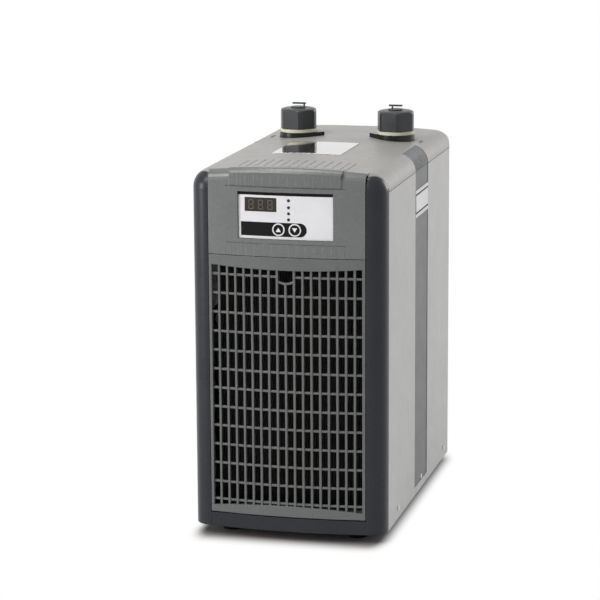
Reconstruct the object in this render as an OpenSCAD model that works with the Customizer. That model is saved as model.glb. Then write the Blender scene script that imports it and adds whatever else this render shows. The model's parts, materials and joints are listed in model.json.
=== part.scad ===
// Aquarium chiller: a free-standing refrigerating unit for fish-tank water.
// The front faces -Y, +X is its right-hand side as seen from the front, +Z is up.
// The origin is on the floor, under the middle of the unit. Lengths are in millimetres.

/* [Body] */
// Width across the side panels
body_w = 265; // [250:1:290]
// Depth from the middle of the bowed front to the rear panel
body_d = 468; // [450:1:500]
// Height of the middle of the crowned top above the floor
body_h = 503.2; // [495:0.1:530]
// Wall of the moulded shells
wall = 2.6; // [2:0.1:3]
// Wall of the sheet-metal parts
sheet = 1.2; // [0.8:0.1:1.6]
// Radius of the front corners and of the long top edges
corner_r = 25.4; // [22:0.2:28]
// Radius of the rear upright corners
rear_r = 12; // [8:0.5:16]
// Radius of the top cover's rear edge
rear_top_r = 25; // [18:0.5:26]
// Rise of the top from its long edges to its middle
crown = 4.5; // [3:0.1:6]
// How far the front bows out between its two seams
bow = 7.8; // [6:0.1:9]
// Gap between neighbouring shells
joint_gap = 0.8; // [0.3:0.1:0.8]
// Radial gap round moving pieces
run_gap = 0.4; // [0.3:0.05:0.6]
// Gap that seats one piece on another
seat_gap = 0.2; // [0.1:0.05:0.3]

/* [Front] */
// Height of the bezel's lower edge above the floor
bezel_z = 13; // [10:0.5:18]
// Height of the bezel's rail below the grille
rail_h = 19; // [15:0.5:24]
// Drop from the top to the seam between grille and control panel
panel_drop = 116.2; // [105:0.1:125]
// Depth behind the seam line where the top cover begins
cover_front = 11; // [8:0.5:14]
// Radius of the control panel's top front edge
panel_edge_r = 15; // [12:0.5:18]
// Width of the ribbed pad at the top of the control panel
pad_w = 153; // [140:1:170]
// Drop from the top to the pad's lower edge
pad_drop = 22.2; // [18:0.1:23]
// How far the pad stands proud of the panel
pad_proud = 1.5; // [1:0.1:2]
// How far the pad stands proud of the top
pad_rise = 2.2; // [1:0.1:3]
// How far the ribbed field behind the pad stands proud of the top
field_rise = 1; // [0.8:0.1:1.4]
// Radius of the pad's top edge
pad_edge_r = 8; // [5:0.5:10]
// Length of the ribbed field on the top cover
rib_field_l = 66; // [50:1:80]
// Width of the grooves between ribs
rib_groove_w = 2; // [1.5:0.1:3]
// Depth of the grooves between ribs
rib_groove_d = 0.6; // [0.4:0.1:0.8]
// Drop from the top to the upper line groove
line_upper_drop = 23.5; // [22:0.1:28]
// Drop from the top to the lower line groove
line_lower_drop = 98.9; // [94:0.1:102]
// Width of both line grooves
line_w = 162; // [150:1:176]
// Height of a line groove
line_h = 1.2; // [0.8:0.1:2]
// Depth of a line groove
line_d = 0.9; // [0.5:0.1:1.4]

/* [Grille] */
// Number of upright bars
upright_count = 17; // [13:2:21]
// Number of cross bars
cross_count = 13; // [9:1:13]
// Pitch of the cross bars
cross_pitch = 25.88; // [24:0.02:26]
// Width of a bar seen from the front
bar_w = 3; // [2.4:0.1:3.6]
// Depth of an upright bar
upright_t = 4.6; // [4:0.1:6]
// Setback of a cross bar from the face of the upright bars
cross_back = 1; // [0.6:0.1:1.6]
// Depth of the grille's frame
grille_t = 6; // [6:0.5:9]
// Width of the frame's side bands
side_band = 4; // [3:0.1:6]
// Height of the frame's top band at its ends
top_band = 13.2; // [11:0.1:16]
// Extra height of the top band in its middle
top_band_rise = 4; // [2:0.5:6]
// Height of the frame's bottom band at its ends
bottom_band = 9; // [8:0.1:12]
// Extra height of the bottom band in its middle
bottom_band_rise = 5.6; // [3:0.1:7]
// Setback of the bar field from the frame's face
field_back = 1.4; // [1:0.1:2]
// Drop of the finger opening's curved bar below the top band
finger_drop = 18; // [16:0.5:20]
// Sag of the finger opening's curved bar
finger_sag = 3.4; // [2:0.1:4]

/* [Controls] */
// Width of the control plate
decal_w = 128; // [120:1:134]
// Height of the control plate
decal_h = 58; // [54:1:62]
// Drop from the top to the control plate's middle
decal_drop = 63.7; // [60:0.1:66]
// Height of the dark seal above the control plate
seal_h = 4; // [3:0.1:5]
// Recess of the control plate behind the panel's face
decal_back = 2.4; // [1.5:0.1:3]
// Thickness of the control plate
decal_t = 1.6; // [1.2:0.1:2]
// Width of the display window
display_w = 43.3; // [38:0.1:48]
// Height of the display window
display_h = 18.3; // [16:0.1:20]
// Radius of a button's cap
button_r = 6.4; // [5:0.1:7]
// Outer radius of the light ring round a button
button_ring_r = 8.4; // [7.6:0.1:8.6]
// Travel of a button
button_travel = 0.5; // [0.3:0.1:0.6]
// Radius of an indicator lens
lens_r = 1.9; // [1.2:0.1:2.4]
// Height of the black strip under the buttons
strip_h = 18.2; // [17:0.1:19]

/* [Top] */
// Width of the blank label on the top
label_w = 97; // [80:1:110]
// Length of the blank label on the top
label_l = 113; // [90:1:130]
// Thickness of the labels
label_t = 0.4; // [0.3:0.1:0.6]

/* [Sides] */
// Width of the channel down each side
channel_w = 88; // [80:1:96]
// Depth of the channel
channel_d = 2; // [1.6:0.1:2.4]
// Distance of the channel's front edge behind the seam line
channel_front = 200; // [190:1:210]
// Height of the channel's lower end above the floor
channel_z = 24; // [20:0.5:28]
// Thickness of the strip that lines the channel
strip_t = 1; // [0.8:0.1:1.2]
// Height of the blank plate on the right side
plate_h = 28; // [24:1:32]
// Drop from the top to the plate's middle
plate_drop = 75.2; // [62:0.1:86]
// Height of the frame bars above and below the plate
plate_band = 5; // [4:0.5:6]
// Head radius of the side screws
screw_head_r = 3.6; // [3:0.1:4]
// Shank radius of the side screws
screw_r = 1.9; // [1.5:0.1:2]

/* [Ports] */
// Distance of the water ports from the body's sides, before their shift
port_in = 61.5; // [58:0.5:66]
// Shift of both water ports to the right-hand side
port_mid = 6.7; // [0:0.1:8]
// Distance of the ports ahead of the rear panel
port_fore = 132.7; // [125:0.1:140]
// Rise of the port bases' upper face over the middle of the top
port_base_rise = 5.1; // [4:0.1:8]
// Radius of the port base
port_base_r = 27; // [25:0.5:29]
// Reach of the port base's point towards the middle
port_tip = 38; // [34:0.5:42]
// Outer radius of the cream ring
ring_r = 26.5; // [24:0.5:27]
// Height of the cream ring
ring_h = 4.6; // [3:0.1:6]
// Width of a union nut across its flats
nut_af = 49; // [46:0.5:50]
// Height of a union nut
nut_h = 29; // [24:0.5:30]
// Radius of the water way through a port
port_bore_r = 8; // [6:0.5:10]
// Outer radius of the hose spigot inside the nut
spigot_r = 11; // [10:0.5:13]
// Height of a closing plug's collar
plug_rise = 1.4; // [1:0.1:2]
// Length of a plug's pull bar
tab_l = 19; // [14:0.5:20]
// Thickness of a plug's pull bar
tab_t = 2.2; // [1.8:0.1:3]
// Lift that takes a plug clear of its nut
plug_travel = 34; // [30:1:40]

/* [Feet] */
// Radius of a foot where it meets the base
foot_r = 15; // [12:0.5:18]
// Radius of a foot on the floor
foot_floor_r = 12.5; // [10:0.5:15]
// Distance of a foot's middle from the body's side
foot_in_x = 44.5; // [38:0.5:52]
// Distance of a foot's middle from the unit's end
foot_in_y = 48; // [44:0.5:60]

/* [Rear] */
// Number of louvres in the rear panel
louvre_count = 14; // [10:1:16]
// Pitch of the louvres
louvre_pitch = 15; // [13:0.5:16]
// Width of a louvre
louvre_w = 150; // [120:1:170]
// Radius of the cord gland's bore
gland_bore_r = 4; // [3.5:0.1:5]
// Length of the cord gland's bore
gland_l = 16; // [12:1:20]

/* [Inside] */
// Distance of the condenser from the body's sides
condenser_in = 34.5; // [33:0.5:42]
// Height of the condenser
condenser_h = 330; // [300:1:340]
// Depth of the condenser's fins
fin_d = 38; // [30:1:44]
// Number of condenser fins
fin_count = 41; // [31:2:51]
// Thickness of a condenser fin
fin_t = 0.7; // [0.5:0.1:1]
// Distance from the fan to the condenser's ends
fan_in = 14; // [12:0.5:20]
// Number of fan blades
blade_count = 5; // [3:1:7]
// Radius of the fan motor
motor_r = 38; // [32:1:42]
// Radius of the fan shaft
shaft_r = 3; // [2.5:0.1:4]
// Radius of the compressor's can
compressor_r = 62; // [55:1:68]
// Height of the compressor's can
compressor_h = 190; // [170:1:210]
// Radius of the heat exchanger vessel
vessel_r = 52; // [46:1:54]
// Distance of the heat exchanger vessel from the body's sides
vessel_in = 29.5; // [26:0.5:36]

/* [Hidden] */
$fn = 64;
// Facets of a large shallow arc
arc_fn = 1440;
// Overrun of a cut past the surface that it opens
over = 1;

// Half the width between the two upright seams of the front
panel_half = body_w / 2 - corner_r;
gland_out = gland_l / 2;
seam_y = -(body_d + gland_out) / 2 + pad_proud + bow;
rear_y = (body_d - gland_out) / 2;
inner_d = rear_y - seam_y;
bow_r = (panel_half * panel_half + bow * bow) / (2 * bow);
bow_y = seam_y - bow + bow_r;
crown_r = (panel_half * panel_half + crown * crown) / (2 * crown);
crown_z = body_h - crown_r;
shoulder_z = body_h - crown;
side_top_z = shoulder_z - corner_r;
column_y = seam_y + corner_r;
cover_y = seam_y + cover_front;
rail_z = bezel_z + rail_h;
panel_z = body_h - panel_drop;
pad_z = body_h - pad_drop;
line_upper_z = body_h - line_upper_drop;
line_lower_z = body_h - line_lower_drop;
decal_z = body_h - decal_drop;
plate_z = body_h - plate_drop;
port_base_top = body_h + port_base_rise;
grille_z = rail_z + 2 * joint_gap;
grille_top = panel_z - joint_gap / 2;
grille_h = grille_top - grille_z;
grille_w = 2 * (panel_half - joint_gap);
grille_half = grille_w / 2 - side_band;
// The uprights share out the width between the side bands, with equal openings
upright_pitch = (2 * grille_half + bar_w) / (upright_count + 1);
port_y = rear_y - port_fore;
side_y = column_y + joint_gap;
side_x = body_w / 2;
port_x = side_x - port_in;
left_port_x = port_mid - port_x;
right_port_x = port_mid + port_x;
channel_y = seam_y + channel_front;
foot_x = side_x - foot_in_x;
foot_y = (body_d + gland_out) / 2 - foot_in_y;
condenser_w = body_w - 2 * condenser_in;
fan_r = condenser_w / 2 - fan_in;
vessel_l = body_w - 2 * vessel_in;

// Depth of the bowed face at a distance from the middle
function bow_at(x) = bow_y - sqrt(bow_r * bow_r - x * x);
// Height of the crowned top at a distance from the middle
function crown_at(x) = crown_z + sqrt(crown_r * crown_r - x * x);
// Place of a bar or rib across the front, counted from the middle
function bar_x(k) = k * upright_pitch;

// Both water ports
module both_ports() {
    for (x = [left_port_x, right_port_x]) translate([x, port_y, 0]) children();
}

// The four feet
module each_foot() {
    for (sx = [-1, 1]) for (sy = [-1, 1]) translate([sx * foot_x, sy * foot_y, 0]) children();
}

// A box given by two opposite corners
module block(low, high) {
    translate(low) cube([high[0] - low[0], high[1] - low[1], high[2] - low[2]]);
}

// A flat shape in X and Z, made solid from depth y0 to depth y1
module slab_y(y0, y1) {
    translate([0, y1, 0]) rotate([90, 0, 0]) linear_extrude(y1 - y0) children();
}

// A flat shape in Y and Z, made solid from x0 to x1
module slab_x(x0, x1) {
    translate([x0, 0, 0]) rotate([90, 0, 90]) linear_extrude(x1 - x0) children();
}

// Both sides of the unit
module both_sides() {
    children();
    mirror([1, 0, 0]) children();
}

// The quarter of a disc that lies towards +X and +Y
module quarter(r) {
    intersection() {
        circle(r);
        square([r + over, r + over]);
    }
}

// The front-view outline of the body under its crowned top, drawn in from the surface by inset
module body_outline(inset = 0) {
    intersection() {
        translate([0, crown_z]) circle(crown_r - inset, $fn = arc_fn);
        translate([-panel_half, side_top_z]) square([2 * panel_half, corner_r + crown + over]);
    }
    for (s = [-1, 1]) {
        translate([s * panel_half, side_top_z]) mirror([s < 0 ? 1 : 0, 0]) quarter(corner_r - inset);
    }
    translate([-side_x + inset, bezel_z]) square([2 * (side_x - inset), side_top_z - bezel_z]);
}

// The plan of the body behind the front corners, with its rounded rear corners
module rear_plan(y0, inset = 0) {
    half = side_x - inset;
    turn = rear_r - inset;
    translate([-half, y0]) square([2 * half, rear_y - rear_r - y0]);
    translate([-side_x + rear_r, y0]) square([2 * (side_x - rear_r), rear_y - inset - y0]);
    for (s = [-1, 1]) {
        translate([s * (side_x - rear_r), rear_y - rear_r]) mirror([s < 0 ? 1 : 0, 0]) quarter(turn);
    }
}

// The side view of the top cover, with the round of its rear edge
module cover_profile(y0, inset = 0) {
    turn = rear_top_r - inset;
    base = side_top_z - inset - over;
    translate([y0, base]) square([rear_y - rear_top_r - y0, body_h + over - base]);
    translate([y0, base]) square([rear_y - inset - y0, body_h - rear_top_r - base]);
    translate([rear_y - rear_top_r, body_h - rear_top_r]) quarter(turn);
}

// A round column with a domed top, on the axis of a front corner
module dome_column(r, z0) {
    rotate_extrude() {
        translate([0, z0]) square([r, side_top_z - z0]);
        translate([0, side_top_z]) quarter(r);
    }
}

// The bowed front between two depths behind its face
module bow_shell(back0, back1, z0, z1) {
    translate([0, bow_y, z0]) difference() {
        cylinder(r = bow_r - back0, h = z1 - z0, $fn = arc_fn);
        translate([0, 0, -over]) cylinder(r = bow_r - back1, h = z1 - z0 + 2 * over, $fn = arc_fn);
    }
}

// The part of the bowed front inside a front-view outline
module on_bow(back0, back1, z0, z1) {
    intersection() {
        bow_shell(back0, back1, z0, z1);
        slab_y(seam_y - 2 * bow - back0, seam_y + back1 + over) children();
    }
}

// A rectangle between two corners in the front view
module window(x0, x1, z0, z1) {
    translate([x0, z0]) square([x1 - x0, z1 - z0]);
}

// Front bezel: two rounded corner columns with domed tops, the rail below the grille and the seat
// that the grille and the control panel lie against
bezel_return_t = 2;
bezel_return_d = 9.2;
bezel_lip_t = 2.4;
rail_half = panel_half + bezel_return_t / 2;
// The rail lies this far behind the two columns' edges
rail_in = 0.2;
seat_band = 4;
seat_h = 22;
module bezel_side() {
    back = seam_y + bezel_return_d;
    difference() {
        intersection() {
            translate([panel_half, column_y, 0]) dome_column(corner_r, bezel_z);
            translate([0, 0, bezel_z - over]) linear_extrude(body_h)
                polygon([[panel_half, seam_y - over], [side_x + over, seam_y - over],
                         [side_x + over, column_y - joint_gap / 2], [panel_half, cover_y - joint_gap]]);
        }
        intersection() {
            translate([panel_half, column_y, 0]) dome_column(corner_r - wall, bezel_z + bezel_lip_t);
            union() {
                block([panel_half + bezel_return_t, seam_y, 0], [side_x, column_y + over, body_h]);
                block([panel_half - over, back, 0], [side_x, column_y + over, body_h]);
            }
        }
    }
    block([panel_half - seat_band, seam_y + grille_t + seat_gap, bezel_z],
          [panel_half + bezel_return_t, back, panel_z + seat_h / 2]);
}
module front_bezel() {
    color([0.31, 0.31, 0.33]) {
        both_sides() bezel_side();
        on_bow(rail_in, wall, bezel_z, rail_z) window(-rail_half, rail_half, bezel_z, rail_z);
        intersection() {
            translate([0, bow_y, bezel_z]) cylinder(r = bow_r - rail_in, h = bezel_lip_t, $fn = arc_fn);
            block([-rail_half, seam_y - bow - over, bezel_z],
                  [rail_half, pan_front + sheet, bezel_z + bezel_lip_t]);
        }
        block([-panel_half, seam_y + grille_t + seat_gap, panel_z - seat_h / 2],
              [panel_half, seam_y + bezel_return_d, panel_z + seat_h / 2]);
    }
}

// Control panel: the moulded upper front, rounded over to meet the top cover, with the ribbed pad,
// two line grooves, a ribbed band above the grille and the window for the control plate
panel_side_t = 2.2;
// The front and the top with the round between them, as faces that turn by equal steps from
// upright to level; proud and rise stand it out of the plain surface
module blended(edge_r, steps, inset, proud = 0, rise = 0) {
    intersection_for(i = [0:steps]) {
        turn = 90 * i / steps;
        sag = bow * cos(turn) + crown * sin(turn);
        face_r = (panel_half * panel_half + sag * sag) / (2 * sag);
        y = seam_y - bow - proud + edge_r + (face_r - edge_r) * cos(turn);
        z = body_h + rise - edge_r - (face_r - edge_r) * sin(turn);
        translate([0, y, z]) rotate([-turn, 0, 0])
            cylinder(r = face_r - inset, h = 4 * body_h, center = true, $fn = arc_fn);
    }
}
module panel_blank(inset) {
    blended(panel_edge_r, 6, inset);
}
module pad_blank(inset) {
    blended(pad_edge_r, 4, inset, pad_proud, pad_rise);
}
rib_reach = floor((pad_w / 2 - pad_edge_r / 2) / upright_pitch);
lower_rib_reach = rib_reach + 1;
module control_panel() {
    color([0.44, 0.44, 0.45]) difference() {
        union() {
            intersection() {
                difference() {
                    panel_blank(0);
                    panel_blank(wall);
                }
                block([-panel_half + joint_gap, seam_y - 2 * bow, panel_z + joint_gap / 2],
                      [panel_half - joint_gap, cover_y - joint_gap, body_h + over]);
            }
            intersection() {
                difference() {
                    pad_blank(0);
                    panel_blank(wall / 2);
                }
                block([-pad_w / 2, seam_y - 2 * bow, pad_z],
                      [pad_w / 2, cover_y - joint_gap, body_h + 2 * pad_rise]);
            }
            pocket();
            for (s = [-1, 1]) {
                wall_x = s * (panel_half - joint_gap - panel_side_t / 2);
                intersection() {
                    panel_blank(wall / 2);
                    block([wall_x - panel_side_t / 2, seam_y, panel_z + joint_gap / 2],
                          [wall_x + panel_side_t / 2, seam_y + grille_t, body_h]);
                }
            }
        }
        on_bow(-over, plate_back + seat_gap, decal_z - decal_h, decal_z + decal_h)
            window(-decal_w / 2 - joint_gap / 2, decal_w / 2 + joint_gap / 2,
                   decal_z - decal_h / 2 - joint_gap / 2, seal_top + joint_gap / 2);
        for (z = [line_lower_z, line_upper_z])
            on_bow(-over, line_d, z - line_h, z + line_h)
                window(-line_w / 2, line_w / 2, z - line_h / 2, z + line_h / 2);
        for (k = [-rib_reach:rib_reach]) {
            x = bar_x(k);
            block([x - rib_groove_w / 2, seam_y - 2 * bow, pad_z - over],
                  [x + rib_groove_w / 2, bow_at(x) - pad_proud + rib_groove_d,
                   shoulder_z - pad_edge_r + pad_rise]);
        }
        for (k = [-lower_rib_reach:lower_rib_reach]) {
            x = bar_x(k);
            block([x - rib_groove_w / 2, seam_y - 2 * bow, panel_z - over],
                  [x + rib_groove_w / 2, bow_at(x) + rib_groove_d, line_lower_z - line_h]);
        }
    }
}

// Grille panel: a bowed moulding with slim bars, a finger opening under the top band, a bevelled
// bottom band and two tongues that stand behind the bezel's rail
tongue_x = 62;
tongue_w = 16;
tongue_h = 5;
tongue_t = 2.4;
rim_h = 5;
band_t = field_back + upright_t;
finger_z = grille_top - top_band - top_band_rise - finger_drop;
first_cross = grille_top - top_band - cross_pitch / 2;
last_cross = grille_z + bottom_band + bottom_band_rise + bar_w;
hinge_in = 1.5;
hinge_y = seam_y - bow + hinge_in;
hinge_z = grille_z + hinge_in;
function band_arc(rise) = (pow(grille_half + over, 2) + rise * rise) / (2 * rise);
module grille_opening(grow = 0) {
    top_r = band_arc(top_band_rise);
    bottom_r = band_arc(bottom_band_rise);
    difference() {
        window(-grille_half - grow, grille_half + grow, grille_z + bottom_band - grow,
               grille_top - top_band + grow);
        translate([0, grille_top - top_band - top_band_rise + top_r + grow])
            circle(top_r, $fn = arc_fn);
        translate([0, grille_z + bottom_band + bottom_band_rise - bottom_r - grow])
            circle(bottom_r, $fn = arc_fn);
    }
}
module grille_panel() {
    reach = (upright_count - 1) / 2;
    arc_r = (upright_pitch * upright_pitch + finger_sag * finger_sag) / (2 * finger_sag);
    tongue_y = bow_at(tongue_x + tongue_w / 2) + wall + joint_gap / 2;
    color([0.47, 0.47, 0.48]) {
        on_bow(0, band_t, grille_z, grille_top) difference() {
            window(-grille_w / 2, grille_w / 2, grille_z, grille_top);
            grille_opening();
        }
        difference() {
            intersection() {
                translate([0, bow_y, grille_z])
                    cylinder(r = bow_r - band_t / 2, h = grille_h, $fn = arc_fn);
                block([-grille_w / 2, seam_y - bow, grille_z],
                      [grille_w / 2, seam_y + grille_t, grille_top]);
            }
            block([-grille_half, seam_y - 2 * bow, grille_z + rim_h],
                  [grille_half, seam_y + grille_t + over, grille_top - rim_h]);
        }
        on_bow(field_back, band_t, grille_z, grille_top) {
            for (k = [-reach:reach]) {
                top = k == 0 ? finger_z : grille_top - rim_h / 2;
                window(bar_x(k) - bar_w / 2, bar_x(k) + bar_w / 2, grille_z + rim_h / 2, top);
            }
        }
        on_bow(field_back + cross_back, band_t - cross_back, grille_z, grille_top) {
            difference() {
                for (k = [0:cross_count - 1]) {
                    z = max(first_cross - k * cross_pitch, last_cross);
                    window(-grille_half - over, grille_half + over, z - bar_w / 2, z + bar_w / 2);
                }
                window(-upright_pitch, upright_pitch, finger_z + bar_w, grille_top);
            }
            intersection() {
                translate([0, finger_z + arc_r]) difference() {
                    circle(arc_r + bar_w / 2);
                    circle(arc_r - bar_w / 2);
                }
                window(-upright_pitch, upright_pitch, finger_z - bar_w, finger_z + finger_sag + bar_w);
            }
        }
        both_sides()
            block([tongue_x - tongue_w / 2, tongue_y, grille_z - tongue_h],
                  [tongue_x + tongue_w / 2, tongue_y + tongue_t, grille_z + rim_h / 2]);
    }
}

// Everything of a flat plan that lies on the body's top, between two heights over its surface
module on_top(rise0, rise1) {
    intersection() {
        translate([0, 0, side_top_z]) linear_extrude(body_h) children();
        slab_y(-body_d / 2, body_d / 2) difference() {
            body_outline(-rise1);
            body_outline(-rise0);
        }
    }
}

// Plan of the water-port bases: round, with a tip that points to the unit's middle
drop_steps = 40;
port_foot_z = shoulder_z - 2 * wall;
module port_plan(grow = 0) {
    a = acos(port_base_r / port_tip);
    r = port_base_r + grow;
    for (s = [-1, 1]) translate([port_mid + s * port_x, port_y]) mirror([s > 0 ? 1 : 0, 0])
        polygon(concat([[r / cos(a), 0]], [for (i = [0:drop_steps])
            let (t = a + i * (360 - 2 * a) / drop_steps) [r * cos(t), r * sin(t)]]));
}

// Top cover: the crowned top with its rounded edges, the raised ribbed field, the two water-port
// openings and the recesses of the two hand grips
neck_r = spigot_r + wall;
knurl_t = 1.4;
knurl_angle = 23;
knurl_end = 76;
module cover_blank(inset) {
    intersection() {
        union() {
            slab_y(column_y, rear_y) body_outline(inset);
            intersection() {
                slab_y(seam_y, column_y) body_outline(inset);
                block([-panel_half, seam_y - over, bezel_z], [panel_half, column_y + over, body_h + over]);
            }
            both_sides() translate([panel_half, column_y, 0]) rotate_extrude() {
                translate([0, side_top_z - corner_r]) square([corner_r - inset, corner_r]);
                translate([0, side_top_z]) quarter(corner_r - inset);
            }
        }
        translate([0, 0, bezel_z]) linear_extrude(body_h) {
            polygon([[-side_x - over, column_y + joint_gap], [-panel_half, cover_y], [panel_half, cover_y],
                     [side_x + over, column_y + joint_gap], [side_x + over, rear_y - rear_r],
                     [-side_x - over, rear_y - rear_r]]);
            rear_plan(rear_y - 2 * rear_r, inset);
        }
        slab_x(-side_x - over, side_x + over) cover_profile(seam_y, inset);
    }
}
// The band of the round on which a hand grip lies, between two depths under the surface
module grip_band(in0, in1) {
    y0 = channel_y;
    translate([panel_half, 0, side_top_z]) slab_y(y0, y0 + channel_w) intersection() {
        difference() {
            circle(corner_r - in0);
            circle(corner_r - in1);
        }
        polygon([[0, 0], [2 * corner_r, 0], [2 * corner_r, 2 * corner_r],
                 [2 * corner_r * cos(knurl_end), 2 * corner_r * sin(knurl_end)]]);
    }
}
module top_cover() {
    color([0.69, 0.69, 0.7]) difference() {
        union() {
            intersection() {
                difference() {
                    cover_blank(0);
                    cover_blank(wall);
                }
                block([-side_x, seam_y, side_top_z + joint_gap / 2], [side_x, rear_y, body_h + over]);
            }
            intersection() {
                slab_y(cover_y, cover_y + rib_field_l) difference() {
                    body_outline(-field_rise);
                    body_outline(wall / 2);
                }
                block([-pad_w / 2, cover_y, side_top_z],
                      [pad_w / 2, cover_y + rib_field_l, body_h + 2 * field_rise]);
            }
            both_sides() grip_band(knurl_t, wall + knurl_t);
        }
        both_sides() grip_band(-over, knurl_t + seat_gap);
        for (k = [-rib_reach:rib_reach]) {
            x = bar_x(k);
            block([x - rib_groove_w / 2, seam_y, crown_at(x) + field_rise - rib_groove_d],
                  [x + rib_groove_w / 2, cover_y + rib_field_l - rib_groove_w, body_h + 2 * field_rise]);
        }
        translate([0, 0, side_top_z]) linear_extrude(body_h) port_plan(run_gap);
    }
}

// Hand grips: knurled inserts in the round of the top cover, in line with the side channels
knurl_pitch = 9;
knurl_cut = 0.5;
module grip_right() {
    y0 = channel_y;
    rows = floor(channel_w / knurl_pitch) - 1;
    turns = floor(knurl_end / knurl_angle);
    difference() {
        intersection() {
            grip_band(seat_gap, knurl_t);
            block([0, y0 + seat_gap, side_top_z + joint_gap / 2],
                  [side_x, y0 + channel_w - seat_gap, body_h]);
        }
        for (i = [1:rows])
            translate([panel_half, y0 + i * channel_w / (rows + 1) + knurl_cut, side_top_z]) rotate([90,
                                                                                                     0, 0])
                linear_extrude(2 * knurl_cut) difference() {
                    circle(2 * corner_r);
                    circle(corner_r - seat_gap - knurl_cut);
                }
        for (i = [1:turns])
            translate([panel_half, y0 - over, side_top_z]) rotate([0, -i * knurl_angle, 0])
                translate([corner_r - seat_gap - knurl_cut, 0, -knurl_cut])
                    cube([corner_r, channel_w + 2 * over, 2 * knurl_cut]);
    }
}
module cover_grips() {
    color([0.45, 0.45, 0.46]) both_sides() grip_right();
}

// Side panels: sheet metal that wraps the rear corners, with a shallow channel down to its foot
module side_right() {
    z0 = bezel_z;
    z1 = side_top_z - joint_gap / 2;
    y0 = channel_y;
    difference() {
        union() {
            translate([0, 0, z0]) linear_extrude(z1 - z0) difference() {
                rear_plan(side_y);
                rear_plan(side_y - over, sheet);
                translate([-2 * side_x, -body_d]) square([2 * side_x + rear_half + joint_gap, 2 * body_d]);
            }
            block([side_x - channel_d - sheet, y0 - sheet, channel_z - sheet],
                  [side_x - sheet / 2, y0 + channel_w + sheet, z1]);
        }
        block([side_x - channel_d, y0, channel_z], [side_x + over, y0 + channel_w, z1 + over]);
        for (y = screw_y)
            translate([side_x + over, y, screw_z]) rotate([0, -90, 0])
                cylinder(r = screw_r + seat_gap, h = channel_d + sheet + 2 * over);
    }
}
// The side screws: one behind the front column, one in the channel, one ahead of the rear corner
screw_front = 86;
screw_in_channel = 51;
screw_fore = 46.7;
screw_y = [seam_y + screw_front, channel_y + screw_in_channel, rear_y - screw_fore];
screw_z = channel_z + screw_head_r + joint_gap;
module side_panel_right() {
    color([0.72, 0.72, 0.71]) side_right();
}
module side_panel_left() {
    color([0.72, 0.72, 0.71]) mirror([1, 0, 0]) side_right();
}

// Side strips: the inlays of the channels, left open round their screw
module side_strips() {
    y0 = channel_y;
    color([0.45, 0.45, 0.45]) both_sides() difference() {
        block([side_x - channel_d, y0 + seat_gap, channel_z + seat_gap],
              [side_x - channel_d + strip_t, y0 + channel_w - seat_gap, side_top_z - joint_gap / 2]);
        translate([side_x, screw_y[1], screw_z]) rotate([0, -90, 0])
            cylinder(r = screw_head_r + run_gap, h = 2 * channel_d);
    }
}

// Blank plate on the right-hand side, in a light frame that bridges the channel
plate_trim_t = 0.4;
plate_half_h = plate_h / 2 + plate_band;
module plate_frame() {
    y0 = channel_y;
    color([0.78, 0.78, 0.77]) difference() {
        block([side_x - channel_d + strip_t, y0 + seat_gap, plate_z - plate_half_h],
              [side_x + plate_trim_t, y0 + channel_w - seat_gap, plate_z + plate_half_h]);
        block([side_x - plate_trim_t, y0 - over, plate_z - plate_h / 2],
              [side_x + channel_d, y0 + channel_w + over, plate_z + plate_h / 2]);
    }
}
module plate_border() {
    y0 = channel_y;
    color([0.05, 0.05, 0.05])
        block([side_x - plate_trim_t, y0 + seat_gap, plate_z - plate_h / 2],
              [side_x, y0 + channel_w - seat_gap, plate_z + plate_h / 2]);
}
module blank_plate() {
    y0 = channel_y;
    color([0.93, 0.93, 0.93])
        block([side_x, y0 + border_w, plate_z - plate_h / 2 + border_w],
              [side_x + plate_trim_t, y0 + channel_w - border_w, plate_z + plate_h / 2 - border_w]);
}
border_w = 2.4;

// Side screws: pan heads outside, shanks through the side panel into the base pan's flange
pan_x = side_x - channel_d - sheet - seat_gap;
screw_head_h = 1.6;
module side_screws() {
    color([0.6, 0.6, 0.6]) both_sides() for (i = [0:2]) {
        in = i == 1 ? channel_d : 0;
        translate([side_x - in, screw_y[i], screw_z]) rotate([0, 90, 0]) {
            translate([0, 0, -sheet * 3 - channel_d]) cylinder(r = screw_r, h = 3 * sheet + channel_d);
            difference() {
                cylinder(r = screw_head_r, h = screw_head_h);
                translate([0, 0, screw_head_h]) {
                    cube([screw_head_r, sheet / 2, screw_head_h], center = true);
                    cube([sheet / 2, screw_head_r, screw_head_h], center = true);
                }
            }
        }
    }
}

// Top label: a blank glossy sheet on the cover
label_x = -7.5;
label_share = 0.485;
label_y = cover_y + rib_field_l + label_share * (port_y - cover_y - rib_field_l - label_l);
module top_label() {
    color([0.85, 0.85, 0.85]) on_top(seat_gap, seat_gap + label_t)
        translate([label_x - label_w / 2, label_y]) square([label_w, label_l]);
}

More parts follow.
